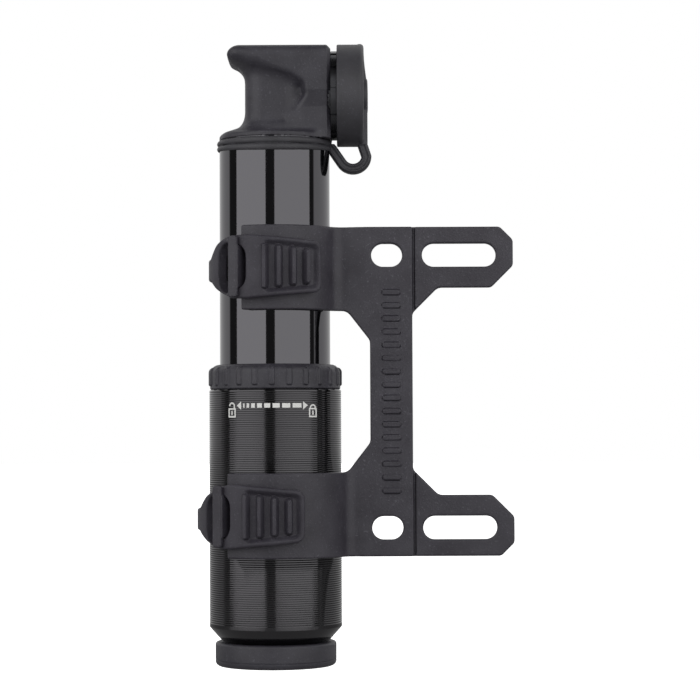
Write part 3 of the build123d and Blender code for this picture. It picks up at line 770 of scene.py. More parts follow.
@dataclass
class Bracket:
    """Moulded bracket: strip with bolt slots, two tabs, two clip arms with hooks and strap cradles.

    The rib is given by its length, width, spacing and rise, the hook's bar by its width, thickness and
    height, its stem by its reach and height, and the strap's bead by its radius, height, wall and place in
    depth.
    """

    clips: tuple[Clip, Clip]
    strip: tuple[float, float] = (-4.0, 6.0)
    strip_thickness: float = 3.2
    tab_thickness: float = 2.6
    tab_height: float = 14.3
    tab_outer: float = 3.1
    tab_inner: float = 5.1
    web: float = 6.0
    arm_height: float = 19.7
    gusset_drop: float = 7.0
    gusset_reach: float = 5.4
    arm_tip: float = 0.42
    arm_tip_round: float = 0.5
    seat_overlap: float = 0.8
    score: tuple[float, float] = (0.65, 0.45)
    slot_width: float = 5.5
    slots: tuple[tuple[float, float], ...] = ((0.0, 7.3), (17.0, 17.4))
    slot_height: float = 32.0
    edge: float = 0.4
    rib: tuple[float, float, float, float] = (4.4, 1.3, 3.1, 0.3)
    rib_count: int = 16
    rib_round: float = 0.2
    bar: tuple[float, float, float] = (2.4, 1.1, 14.3)
    stem: tuple[float, float] = (2.6, 9.9)
    bead: tuple[float, float, float, float] = (1.8, 10.0, 1.4, -1.0)
    bead_seat: float = 0.2
    bead_play: float = 0.06
    bar_rounds: tuple[float, float] = (0.7, 0.3)
    stem_round: float = 0.6
    stem_root: float = 0.4
    stem_fillet: float = 0.5
    hook_fillet: float = 0.35
    cradle_round: float = 0.8
    cradle_fillet: float = 0.5
    clip_zone: float = 12.0
    pitch: float = 0.34

    def outline(self) -> np.ndarray:
        """Draws the whole bracket's outline seen from the front.

        Returns:
            Points of the outline, one row each.
        """
        left, right = self.strip
        top = span("mount_bracket")[1][2]
        tab = span("mount_bracket")[1][0]
        low = top - self.tab_height
        arm = top - self.arm_height
        foot = arm - self.gusset_drop
        far = AXIS[0] - 25
        # rows: place across, height, radius of the corner
        upper = [
            (far, top, 0.2),
            (tab - self.tab_outer, top, 1.5),
            (tab, top - self.tab_outer, 1.5),
            (tab, low + self.tab_inner, 1.6),
            (tab - self.tab_inner, low, 1.6),
            (right + self.web, low, 2.4),
            (right, low - self.web, 1.9),
        ]
        inner = [(left, foot, 2.2), (left - self.gusset_reach, arm, 2.6), (far, arm, 0.2)]
        lower = [(x, -z, r) for x, z, r in reversed(upper)]
        inner_low = [(x, -z, r) for x, z, r in reversed(inner)]
        return rounded_corners([*upper, *lower, *inner_low, *inner])

    def front(self) -> Table:
        """Works out the bracket's front figure.

        Returns:
            Table of distances to the outline, with the bolt slots taken out.
        """
        outline = self.outline()

        def figure(x: Grid, z: Grid) -> Grid:
            """Draws the outline and its slots.

            Args:
                x: places across.
                z: heights.

            Returns:
                Distances, negative inside.
            """
            solid = polygon_distance(outline, x, z)
            for centre, length in self.slots:
                straight = (length - self.slot_width) / 2
                run = np.maximum(np.abs(x - centre) - straight, 0)
                hole = np.hypot(run, np.abs(z) - self.slot_height) - self.slot_width / 2
                solid = np.maximum(solid, -hole)
            return solid

        low, high = span("mount_bracket")
        return Table(figure, (low[0] - 1, low[2] - 1), (high[0] + 1, high[2] + 1))

    def section(self, clip: Clip) -> Table:
        """Works out the bracket's section through one arm, seen from above.

        Args:
            clip: the arm's clip.

        Returns:
            Table of distances to the strip, the tab and the arm.
        """
        left, right = self.strip
        middle_radius = clip.radius + clip.arm / 2
        turn = math.radians(clip.turn)
        end = clip.end + math.degrees(self.arm_tip / middle_radius)
        arc = np.radians(np.arange(end, -clip.turn, -1.5))
        wrap = np.stack((-middle_radius * np.sin(arc), -middle_radius * np.cos(arc)), axis=1)
        centre = (middle_radius + clip.bend) * np.array((math.sin(turn), -math.cos(turn)))
        leave = math.radians(clip.leave)
        swing = np.linspace(turn, -leave, 18)
        bend = centre + clip.bend * np.stack((-np.sin(swing), np.cos(swing)), axis=1)
        level = -AXIS[1] - self.strip_thickness + clip.arm / 2
        knee = np.array((bend[-1][0] + (bend[-1][1] - level) / math.tan(leave), level))
        seat = np.array((max(left - AXIS[0] - self.seat_overlap, knee[0] + self.seat_overlap), level))
        run = np.linspace(0, 1, 10)[1:, None]
        lead = (1 - run) ** 2 * bend[-1] + 2 * run * (1 - run) * knee + run**2 * seat
        root = np.array([(left - AXIS[0] + self.strip_thickness / 2, level)])
        path = np.concatenate((wrap, bend, lead, root)) + AXIS
        groove, web = self.score
        cut = wrap[0] + AXIS
        facing = np.array((math.cos(math.radians(end)), -math.sin(math.radians(end))))

        def figure(x: Grid, y: Grid) -> Grid:
            """Draws the arm, the strip and the tab with the scored line between these two.

            Args:
                x: places across.
                y: places in depth.

            Returns:
                Distances, negative inside.
            """
            arm = path_distance(path, x, y) - clip.arm / 2
            beyond = -((x - cut[0]) * facing[0] + (y - cut[1]) * facing[1])
            arm = crossed(arm, beyond, self.arm_tip_round)
            arm = np.maximum(arm, np.minimum(y, x - left))
            strip = np.maximum(between(x, left, right), between(y, -self.strip_thickness, 0))
            tab = np.maximum(between(x, left + 1, right + 60), between(y, -self.tab_thickness, 0))
            score = np.maximum(between(x, right, right + groove), y + self.tab_thickness - web)
            plate = np.minimum(strip, np.maximum(tab, -score))
            return np.minimum(arm, plate)

        low, high = span("mount_bracket")
        return Table(figure, (low[0] - 1, low[1] - 1), (high[0] + 1, high[1] + 1), step=0.12)

    def hook(self, clip: Clip, x: Grid, y: Grid, z: Grid) -> Grid:
        """Draws the T-shaped hook that the strap's eyelet drops over.

        Args:
            clip: the hook's clip.
            x: places across.
            y: places in depth.
            z: heights.

        Returns:
            Distances, negative inside.
        """
        along, out = clip.aside(x, y, clip.bar_angle)
        up = np.abs(z - clip.height)
        width, thick, tall = self.bar
        corner, edge = self.bar_rounds
        face = crossed(np.abs(along) - width / 2, up - tall / 2, corner)
        bar = crossed(face, between(out, clip.bar_seat, clip.bar_seat + thick), edge)
        reach, height = self.stem
        post = crossed(np.abs(along) - reach / 2, up - height / 2, self.stem_round)
        post = np.maximum(post, between(out, clip.radius + self.stem_root, clip.bar_seat + thick / 2))
        return joined(bar, post, self.stem_fillet)

    def cradle(self, clip: Clip, x: Grid, y: Grid, z: Grid) -> Grid:
        """Draws the block behind the arm that holds the strap's bead.

        Args:
            clip: the arm's clip.
            x: places across.
            y: places in depth.
            z: heights.

        Returns:
            Distances, negative inside.
        """
        radius, tall, wall, place = self.bead
        turn = math.cos(math.radians(clip.turn))
        depth = (clip.radius + clip.arm / 2) * turn - clip.bend * (1 - turn)
        bead = clip.radius + self.bead_seat + radius
        back = place + radius + wall
        across, deep = off_axis(x, y)
        side, rear = between(across, bead, bead + radius + wall), between(deep, -depth, back)
        block = crossed(side, rear, self.cradle_round)
        return crossed(block, np.abs(z - clip.height) - tall / 2 - wall, self.cradle_round)

    def bead_room(self, clip: Clip, x: Grid, y: Grid, z: Grid) -> Grid:
        """Draws the room for the bead and for the strap that leads from it.

        Args:
            clip: the arm's clip.
            x: places across.
            y: places in depth.
            z: heights.

        Returns:
            Distances, negative inside.
        """
        radius, tall, wall, place = self.bead
        play = self.bead_play
        across, deep = off_axis(x, y)
        up = np.abs(z - clip.height) - tall / 2 - play
        groove = np.hypot(across - clip.radius - self.bead_seat - radius, deep - place) - radius - play
        run = between(deep, place, place + 2 * radius + wall)
        lead = np.maximum(across - clip.radius - clip.strap - play, run)
        return np.maximum(np.minimum(groove, lead), up)

    def form(self) -> Field:
        """Joins the bracket's parts into one distance field.

        Returns:
            The field.
        """
        front = self.front()
        sections = [self.section(clip) for clip in self.clips]
        length, width, step, rise = self.rib
        last_row = (self.rib_count - 1) / 2
        centre_x = sum(self.strip) / 2

        def field_of(x: Grid, y: Grid, z: Grid) -> Grid:
            """Draws the bracket.

            Args:
                x: places across.
                y: places in depth.
                z: heights.

            Returns:
                Distances, negative inside.
            """
            plan = np.where(z > 0, sections[0](x, y), sections[1](x, y))
            solid = crossed(front(x, z), plan, self.edge)
            row = np.clip(np.round(z / step - 0.5) + 0.5, -last_row, last_row) * step
            run = np.maximum(np.abs(x - centre_x) - (length - width) / 2, 0)
            rib = np.hypot(run, z - row) - width / 2
            rib = crossed(rib, between(y, -self.strip_thickness - rise, -1), self.rib_round)
            solid = np.minimum(solid, rib)
            for clip in self.clips:
                near = np.abs(z - clip.height) < self.clip_zone
                if not np.any(near):
                    continue
                part = joined(solid, self.hook(clip, x, y, z), self.hook_fillet)
                part = joined(part, self.cradle(clip, x, y, z), self.cradle_fillet)
                part = np.maximum(part, -self.bead_room(clip, x, y, z))
                solid = np.where(near, part, solid)
            return solid

        return field_of

    def build(self) -> None:
        """Wraps the bracket and dresses it."""
        low, high = span("mount_bracket")
        skin = wrapped(self.form(), low, high, self.pitch)
        body = made_piece("bracket_moulding", skin, Kit.BRACKET_NYLON)
        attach(body, "bracket")
        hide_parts("mount_bracket")
        log.info("bracket: %d faces", len(skin.faces))


# ---------------------------------------------------------------- rubber straps
@dataclass
class Strap:
    """Moulded rubber strap of one clip: bead, band round the back, eyelet on the hook, ribbed pull tail.

    The hole is given by its length and height, and the bead by its radius, height and place in depth. Places
    along the tail are measured from the hole's edge, and places round the clip are degrees from the front to
    the left. A run is where something sets in and where it is full, and walls are the same for the tail's
    relief, as distances from its outline.
    """

    clip: Clip
    body: str
    band_height: float = 5.2
    ring_height: float = 14.4
    shoulder: float = 1.2
    shoulders: tuple[float, ...] = (36.0, 50.0, 60.0, 75.0, 90.0)
    hole: tuple[float, float] = (10.2, 10.8)
    hole_corners: tuple[float, float] = (3.6, 4.4)
    hole_round: float = 0.3
    hole_slant: float = 0.3
    slant_run: tuple[float, float] = (1.0, -2.5)
    play: float = 2.6
    tail_length: float = 17.6
    tail_heights: tuple[float, float] = (14.9, 11.8)
    tip_corner: float = 2.0
    climb: float = 5.2
    edge: float = 0.55
    rib_count: int = 4
    rib_pitch: float = 3.45
    rib_width: float = 1.6
    rib_start: float = 4.4
    rib_first: float = 10.8
    rib_step: float = 0.8
    rib_rise: float = 0.8
    rib_wall: tuple[float, float] = (0.3, -0.5)
    floor: float = 1.0
    floor_wall: tuple[float, float] = (0.5, -0.9)
    floor_corner: float = 1.2
    border: float = 1.2
    crown: float = 0.9
    crown_runs: tuple[tuple[float, float], tuple[float, float]] = ((38.0, 46.0), (74.0, 56.0))
    sag: float = 0.0
    sag_runs: tuple[tuple[float, float], tuple[float, float]] = ((22.0, 58.0), (200.0, 130.0))
    relief_slope: float = 0.92
    bead: tuple[float, float, float] = (1.8, 10.0, -1.0)
    bead_seat: float = 0.2
    bead_round: float = 0.4
    bead_fillet: float = 0.5
    lead_end: float = 0.4
    parting: float = 97.0
    bend_run: tuple[float, float] = (1.4, -4.5)
    pitch: float = 0.3

    def __post_init__(self) -> None:
        """Works out where the eyelet's hole and the tail's tip lie round the clip."""
        clip = self.clip
        seat = clip.radius + clip.arm + clip.gap
        self.hole_edge = clip.end + math.degrees((clip.overhang - self.play) / (seat + clip.strap / 2))
        self.tip = self.hole_edge - math.degrees(self.tail_length / clip.high)
        self.hole_middle = self.hole_edge + math.degrees(self.hole[0] / 2 / (clip.low + clip.strap))
        self.climb_start = clip.end + math.degrees(self.climb / clip.low)

    def half_height(self, angle: Grid) -> Grid:
        """Finds half the strap's height: tapered on the tail, tall at the eyelet, low behind the pump.

        Args:
            angle: places round the clip.

        Returns:
            Half the height at each place.
        """
        ring, band = self.ring_height / 2, self.band_height / 2
        root, tip = self.tail_heights
        places = [self.tip, self.hole_edge, *self.shoulders]
        heights = [tip / 2, root / 2, ring, ring - self.shoulder, (ring + band) / 2, band, band]
        return np.interp(angle, places, heights)

    def path_radius(self, angle: Grid) -> Grid:
        """Radius of the strap's middle: low on the pump, high where it lies on the arm."""
        rise = 1 - ramp(self.clip.end - 1, self.climb_start, angle)
        return self.clip.low + (self.clip.high - self.clip.low) * rise

    def relief(self, angle: Grid, up: Grid, half: Grid) -> Grid:
        """Finds the height of the tail's ribs and recessed floor over its plain face.

        Args:
            angle: places round the clip.
            up: heights from the strap's middle.
            half: half the strap's height at those places.

        Returns:
            Heights, negative where the face is recessed.
        """
        outer = self.clip.high + self.clip.strap / 2
        along = np.radians(self.hole_edge - angle) * outer
        length = math.radians(self.hole_edge - self.tip) * outer
        run = between(along, self.rib_start, length - self.border)
        panel = crossed(run, np.abs(up) - half + self.border, self.floor_corner)
        height = -self.floor * ramp(*self.floor_wall, panel)
        for rib in range(self.rib_count):
            straight = (self.rib_first - rib * self.rib_step - self.rib_width) / 2
            place = self.rib_start + rib * self.rib_pitch
            away = np.hypot(along - place, np.maximum(np.abs(up) - straight, 0)) - self.rib_width / 2
            rise = (self.floor + self.rib_rise) * ramp(*self.rib_wall, away)
            height = np.maximum(height, -self.floor + rise)
        return height

    def form(self) -> Field:
        """Joins the strap's lengths into one distance field.

        Returns:
            The field.
        """
        clip = self.clip
        thick = clip.strap
        length, height = self.hole
        near, far = self.hole_corners
        hole_outline = rounded_corners(
            [
                (length / 2, -height / 2, near),
                (length / 2, height / 2, near),
                (-length / 2, height / 2, far),
                (-length / 2, -height / 2, far),
            ]
        )
        hole = flat_figure(hole_outline, (-12, -12), (12, 12))
        bead_radius, bead_height, bead_depth = self.bead
        degree = np.radians(1.0) * clip.low
        crown_left, crown_right = self.crown_runs
        sag_left, sag_right = self.sag_runs

        def field_of(x: Grid, y: Grid, z: Grid) -> Grid:
            """Draws the strap.

            Args:
                x: places across.
                y: places in depth.
                z: heights.

            Returns:
                Distances, negative inside.
            """
            angle, radius = clip.polar(x, y)
            up = z - clip.height + self.sag * ramp(*sag_left, angle) * ramp(*sag_right, angle)
            crown = self.crown * ramp(*crown_left, angle) * ramp(*crown_right, angle)
            half = self.half_height(angle) + crown * (up > 0)
            mid = self.path_radius(angle)
            out = radius - mid
            inward = -out - thick / 2
            outward = (out - thick / 2 - self.relief(angle, up, half)) * self.relief_slope
            slab = crossed(inward, outward, self.edge)
            # climb and flare stretch the field, so it is divided by their slope
            steep = (self.path_radius(angle + 0.5) - self.path_radius(angle - 0.5)) / degree
            slab = slab / np.sqrt(1 + steep**2)
            flare = (self.half_height(angle + 0.5) - self.half_height(angle - 0.5)) / degree
            rim = (np.abs(up) - half) / np.sqrt(1 + flare**2)
            ahead = np.radians(self.tip - angle) * clip.high
            shape = crossed(rim, ahead, self.tip_corner)
            strap = crossed(slab, shape, self.edge)
            place = np.radians(self.hole_middle - angle) * (clip.low + thick)
            funnel = np.clip(out + thick / 2, 0, thick) * self.hole_slant
            opening = hole(place, up) - funnel * ramp(*self.slant_run, place)
            strap = carved(strap, opening, self.hole_round)
            across, deep = off_axis(x, y)
            lead = between(across, clip.radius, clip.radius + thick)
            lead = np.maximum(lead, between(deep, bead_depth, self.lead_end))
            lead = crossed(lead, np.abs(up) - self.band_height / 2, self.edge)
            bead = across - clip.radius - self.bead_seat - bead_radius
            bead = np.hypot(bead, deep - bead_depth) - bead_radius
            bead = crossed(bead, np.abs(up) - bead_height / 2, self.bead_round)
            # past the back the strap ends where its bead's lead begins
            strap = np.maximum(strap, np.where(angle > 180, -deep, -thick))
            return np.minimum(strap, joined(lead, bead, self.bead_fillet))

        return field_of

    def build(self) -> None:
        """Wraps the strap, parts it behind the pump's side and dresses both lengths."""
        name = self.clip.name
        corners = [span(f"strap_{part}_{name}") for part in ("band", "eyelet", "tail")]
        low = np.min([c[0] for c in corners], axis=0)
        high = np.max([c[1] for c in corners], axis=0)
        skin = wrapped(self.form(), low, high, self.pitch)
        centres = skin.points[skin.faces].mean(axis=1)
        angle, _ = self.clip.polar(centres[:, 0], centres[:, 1])
        loose = angle < self.parting
        band = made_piece(f"strap_{name}_band", skin.part(~loose), Kit.STRAP_RUBBER)
        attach(band, "bracket")
        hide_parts(f"strap_band_{name}")
        end = made_piece(f"strap_{name}_loose_end", skin.part(loose), Kit.STRAP_RUBBER)
        first, last = self.bend_run
        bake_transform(end)
        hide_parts(f"strap_eyelet_{name}", f"strap_tail_{name}")
        log.info("strap %s: %d faces", name, len(skin.faces))


# ---------------------------------------------------------------- head, cap and tether
@dataclass
class Head:
    """Moulded head: chuck body across the pump with a finger horn, a neck and a flange on the barrel.

    Brow is the sink and lean of the front's top, chin the height and step of its lower edge, wall the
    steepness and reach of the hollow's wall. Fillet and soften go from the chuck's side to the horn's side,
    and a run gives the two places across between which such a change goes on.
    """

    horn_round: float = 3.4
    horn_inset: float = 1.7
    half_depth: float = 9.4
    brow_round: float = 2.8
    brow: tuple[float, float] = (0.55, 1.0)
    chin: tuple[float, float] = (-3.6, 1.2)
    wall: tuple[float, float] = (0.4, 2.2)
    wall_run: tuple[float, float] = (-33.0, -28.0)
    mouth_bevel: float = 0.9
    neck: tuple[float, float] = (-33.35, -19.3)
    neck_half: float = 7.6
    neck_round: float = 4.6
    neck_sink: float = 5.6
    flange: float = 1.3
    flange_round: float = 0.6
    flange_fillet: float = 1.8
    spigot: float = 8.0
    spigot_radius: float = 11.64
    chuck_bore: float = 8.46
    fillet: tuple[float, float] = (2.6, 5.0)
    fillet_run: tuple[float, float] = (-28.5, -33.0)
    soften: tuple[float, float] = (0.9, 3.0)
    soften_run: tuple[float, float] = (-25.0, -36.0)
    pitch: float = 0.3
    # hollow under the horn, seen from the front: the horn's underside, the throat and the saddle
    # rows: place across, height, radius of the corner
    hollow: tuple[tuple[float, float, float], ...] = (
        (-44.0, 77.9, 0.5),
        (-36.0, 77.9, 2.0),
        (-30.6, 77.4, 3.0),
        (-26.3, 76.1, 3.0),
        (-22.2, 74.9, 2.5),
        (-19.0, 72.8, 2.5),
        (-18.4, 70.0, 2.5),
        (-20.0, 66.2, 3.0),
        (-22.8, 62.2, 2.0),
        (-26.2, 61.8, 3.0),
        (-31.0, 61.6, 1.0),
        (-44.0, 61.6, 0.5),
    )

    def form(self) -> Field:
        """Joins the head's parts into one distance field.

        Returns:
            The field.
        """
        low, high = span("pump_head")
        barrel = span("barrel_tube")[1]
        chuck = middle("chuck_ring")
        radius = high[2] - chuck[2]
        hollow = flat_figure(
            rounded_corners(self.hollow),
            (low[0] - 3, low[2] - 2),
            (high[0] + 2, high[2] + 2),
        )
        bore_root = span("valve_pin")[0][0] - 0.02
        top = barrel[2]
        tip = 2 * AXIS[0] - barrel[0] + self.horn_inset
        sink, lean = self.brow
        drop, waist = self.chin
        steep, reach = self.wall
        # rows: place in depth, height, radius of the corner
        side = [
            (self.half_depth + lean, radius - sink, self.brow_round),
            (self.half_depth, 0.3, 0.8),
            (self.half_depth - waist, drop, 1.0),
            (self.half_depth - waist, -2 * radius, 0.1),
        ]
        side += [(-d, h, r) for d, h, r in reversed(side)]
        face = flat_figure(rounded_corners(side), (-16, -24), (16, 14))
        crisp, loose = self.soften
        narrow, wide = self.fillet

        def field_of(x: Grid, y: Grid, z: Grid) -> Grid:
            """Draws the head.

            Args:
                x: places across.
                y: places in depth.
                z: heights.

            Returns:
                Distances, negative inside.
            """
            across, deep = off_axis(x, y)
            up = z - chuck[2]
            body = crossed(face(deep, up), tip - x, self.horn_round)
            body = chamfered(body, x - high[0], self.mouth_bevel)
            body = np.maximum(body, top - z)
            inset = np.clip(self.half_depth + lean / 2 - np.abs(deep), 0, reach) * ramp(*self.wall_run, x)
            scoop = hollow(x, z) + steep * inset
            body = carved(body, scoop, crisp + (loose - crisp) * ramp(*self.soften_run, x))
            neck = crossed(between(x, *self.neck), np.abs(deep) - self.neck_half, self.neck_round)
            neck = np.maximum(neck, between(z, top - 0.5, chuck[2] + radius - self.neck_sink))
            body = joined(body, neck, narrow + (wide - narrow) * ramp(*self.fillet_run, x))
            ring = np.hypot(across, deep)
            disc = crossed(ring - barrel[0] + AXIS[0], z - top - self.flange, self.flange_round)
            body = joined(body, np.maximum(disc, top - 1 - z), self.flange_fillet)
            body = np.maximum(body, top - z)
            plug = np.maximum(ring - self.spigot_radius, between(z, top - self.spigot, top + 1))
            body = np.minimum(body, plug)
            bore = np.maximum(np.hypot(deep, up) - self.chuck_bore, bore_root - x)
            return np.maximum(body, -bore)

        return field_of

    def build(self) -> None:
        """Wraps the head and dresses it."""
        low, high = span("pump_head")
        skin = wrapped(self.form(), low, high, self.pitch)
        head = made_piece("head_moulding", skin, Kit.HEAD_NYLON)
        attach(head, "pump")
        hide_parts("pump_head")
        log.info("head: %d faces", len(skin.faces))


@dataclass
class DustCap:
    """Rubber cap over the chuck: a cup whose end face carries a strip and a round button."""

    wall: float = 0.9
    skirt: float = 4.0
    rib: float = 1.0
    rib_width: float = 4.4
    rib_length: float = 12.0
    rib_round: float = 0.6
    rib_fillet: float = 0.5
    button: float = 4.0
    button_round: float = 0.5
    button_fillet: float = 0.4
    edge: float = 1.0
    lip_round: float = 0.3
    room_round: float = 0.15
    pitch: float = 0.26

    def form(self) -> Field:
        """Joins the cap's parts into one distance field.

        Returns:
            The field.
        """
        low, high = span("dust_cap")
        centre = middle("chuck_ring")
        radius = centre[2] - low[2]
        face = high[0] - self.rib

        def field_of(x: Grid, y: Grid, z: Grid) -> Grid:
            """Draws the cap.

            Args:
                x: places across.
                y: places in depth.
                z: heights.

            Returns:
                Distances, negative inside.
            """
            around = np.hypot(y - AXIS[1], z - centre[2])
            cup = crossed(around - radius, x - face, self.edge)
            cup = crossed(cup, low[0] - x, self.lip_round)
            room = np.maximum(around - radius + self.wall, x - low[0] - self.skirt)
            cup = carved(cup, room, self.room_round)
            thin = self.rib * ramp(low[2] + self.rib_length, high[2] - 0.5, z)
            strip = np.maximum(np.abs(y - AXIS[1]) - self.rib_width / 2, around - radius)
            strip = crossed(strip, x - high[0] + thin, self.rib_round)
            strip = np.maximum(strip, face - 1 - x)
            knob = crossed(around - self.button, x - high[0], self.button_round)
            knob = np.maximum(knob, face - 1 - x)
            return joined(joined(cup, strip, self.rib_fillet), knob, self.button_fillet)

        return field_of

    def build(self) -> None:
        """Wraps the cap and dresses it."""
        low, high = span("dust_cap")
        skin = wrapped(self.form(), low, high, self.pitch)
        cap = made_piece("dust_cap_moulding", skin, Kit.CAP_RUBBER)
        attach(cap, "cap")
        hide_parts("dust_cap")
        log.info("dust cap: %d faces", len(skin.faces))


@dataclass
class Tether:
    """Rubber ring round the barrel's top and the grooved strap that loops from it to the cap.

    The ring is two beads, each given by its middle and half its height as shares of the ring's height. The
    root gives the strap's first points, to the right of its start and above it. The bend run is not used.
    """

    wall: float = 0.52
    upper_bead: tuple[float, float] = (0.27, 0.235)
    lower_bead: tuple[float, float] = (0.24, 0.24)
    ring_core: float = 0.1
    ring_play: float = 0.05
    droop: float = 0.95
    droop_power: float = 1.5
    root: tuple[tuple[float, float], ...] = ((-2.6, 0.75), (-1.4, 0.7), (-0.5, 0.3), (0.2, -0.5))
    run: float = 2.4
    drop: float = 3.7
    bulge: float = 0.9
    rise: float = 2.5
    thickness: float = 2.35
    width: float = 4.4
    edge: float = 0.9
    groove: float = 0.5
    groove_round: float = 0.25
    overlap: float = 0.2
    bend_run: tuple[float, float] = (2.2, 1.5)
    pitch: float = 0.2

    def centre_line(self) -> np.ndarray:
        """Draws the middle of the looped strap seen from the front.

        Returns:
            Points from the ring down, round the loop and up to the cap, one row each.
        """
        ring = span("tether_ring")
        cap = span("dust_cap")
        middle_height = (ring[0][2] + ring[1][2]) / 2 - self.overlap
        start = np.array((ring[1][0], middle_height))
        corner = start + np.array((self.run, -self.drop))
        heading = (corner - start) / np.linalg.norm(corner - start)
        side = cap[1][0] - self.thickness / 2
        end = np.array((side + self.bulge, cap[0][2] - self.rise))
        normal = np.array((-heading[1], heading[0]))
        chord = end - corner
        radius = (chord @ chord) / (2 * chord @ normal)
        centre = corner + normal * radius
        first = math.atan2(*(corner - centre)[::-1])
        last = math.atan2(*(end - centre)[::-1])
        if last < first:
            last += 2 * math.pi
        turn = np.linspace(first, last, 28)
        arc = centre + abs(radius) * np.stack((np.cos(turn), np.sin(turn)), axis=1)
        top = (side, cap[0][2] + self.overlap)
        return np.concatenate((start + np.array(self.root), arc, np.array([top])))

    def band(self) -> Field:
        """Joins the ring's two beads, whose lower one hangs a little in front, into one distance field.

        Returns:
            The field.
        """
        low, high = span("tether_ring")
        inner = span("barrel_tube")[1][0] - AXIS[0] + self.ring_play
        upper_middle, upper_half = self.upper_bead
        lower_middle, lower_half = self.lower_bead

        def field_of(x: Grid, y: Grid, z: Grid) -> Grid:
            """Draws the ring.

            Args:
                x: places across.
                y: places in depth.
                z: heights.

            Returns:
                Distances, negative inside.
            """
            across, deep = off_axis(x, y)
            radius = np.hypot(across, deep)
            facing = np.maximum(-deep / np.maximum(radius, TINY), 0) ** self.droop_power
            away = radius - inner
            foot = low[2] - self.droop * facing
            share = high[2] - foot
            upper = np.hypot(away / self.wall, (z - high[2] + upper_middle * share) / (upper_half * share))
            lower = np.hypot(away / self.wall, (z - foot - lower_middle * share) / (lower_half * share))
            beads = (np.minimum(upper, lower) - 1) * self.wall * 0.8
            core = np.maximum(away - self.ring_core, between(z, low[2], high[2]))
            beads = np.minimum(beads, core)
            return np.maximum(beads, -away)

        return field_of

    def loop(self) -> Field:
        """Draws the looped strap, scored along both edges, as a distance field.

        Returns:
            The field.
        """
        line = self.centre_line()
        low, high = span("cap_tether")
        line_away = Table(
            lambda u, v: path_distance(line, u, v),
            (low[0] - 4, low[2] - 1),
            (high[0] + 1, high[2] + 1),
            step=0.1,
        )
        ring = span("barrel_tube")[1][0] - AXIS[0] + 0.1

        def field_of(x: Grid, y: Grid, z: Grid) -> Grid:
            """Draws the looped strap.

            Args:
                x: places across.
                y: places in depth.
                z: heights.

            Returns:
                Distances, negative inside.
            """
            away = line_away(x, z)
            across, deep = off_axis(x, y)
            aside = np.abs(deep) - self.width / 2
            strap = crossed(away - self.thickness / 2, aside, self.edge)
            score = np.hypot(away, aside - 0.1) - self.groove
            strap = carved(strap, score, self.groove_round)
            strap = np.maximum(strap, z - high[2] - 0.3)
            return np.maximum(strap, ring - np.hypot(across, deep))

        return field_of

    def build(self) -> None:
        """Wraps the ring and the loop and dresses both."""
        low, high = span("tether_ring")
        skin = wrapped(self.band(), low - (0.5, 0.5, 1.2), high + 0.5, self.pitch)
        ring = made_piece("tether_ring_moulding", skin, Kit.CAP_RUBBER)
        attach(ring, "pump")
        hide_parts("tether_ring")
        low, high = span("cap_tether")
        skin = wrapped(self.loop(), low - (3.0, 0, 0.5), high + 0.5, self.pitch)
        strap = made_piece("tether_loop_moulding", skin, Kit.CAP_RUBBER)
        first, last = self.bend_run
        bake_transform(strap)
        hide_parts("cap_tether")
        log.info("tether: %d faces", len(skin.faces))


# ---------------------------------------------------------------- barrel, handle and collar
@dataclass
class Barrel:
    """Drawn aluminium tube that the pump's piston runs in."""

    wall: float = 1.4
    edge: float = 0.3

    def build(self) -> None:
        """Turns the tube and dresses it."""
        low, high = span("barrel_tube")
        radius = high[0] - AXIS[0]
        inner = radius - self.wall
        profile = [
            (inner, low[2] + self.edge),
            (inner + self.edge, low[2]),
            (radius - self.edge, low[2]),
            (radius, low[2] + self.edge),
            (radius, high[2]),
            (inner, high[2]),
        ]
        tube = made_piece("barrel_drawn_tube", centred(turned(profile)), Kit.BARREL, 30)
        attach(tube, "pump")
        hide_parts("barrel_tube")
        log.info("barrel: radius %.2f mm", radius)


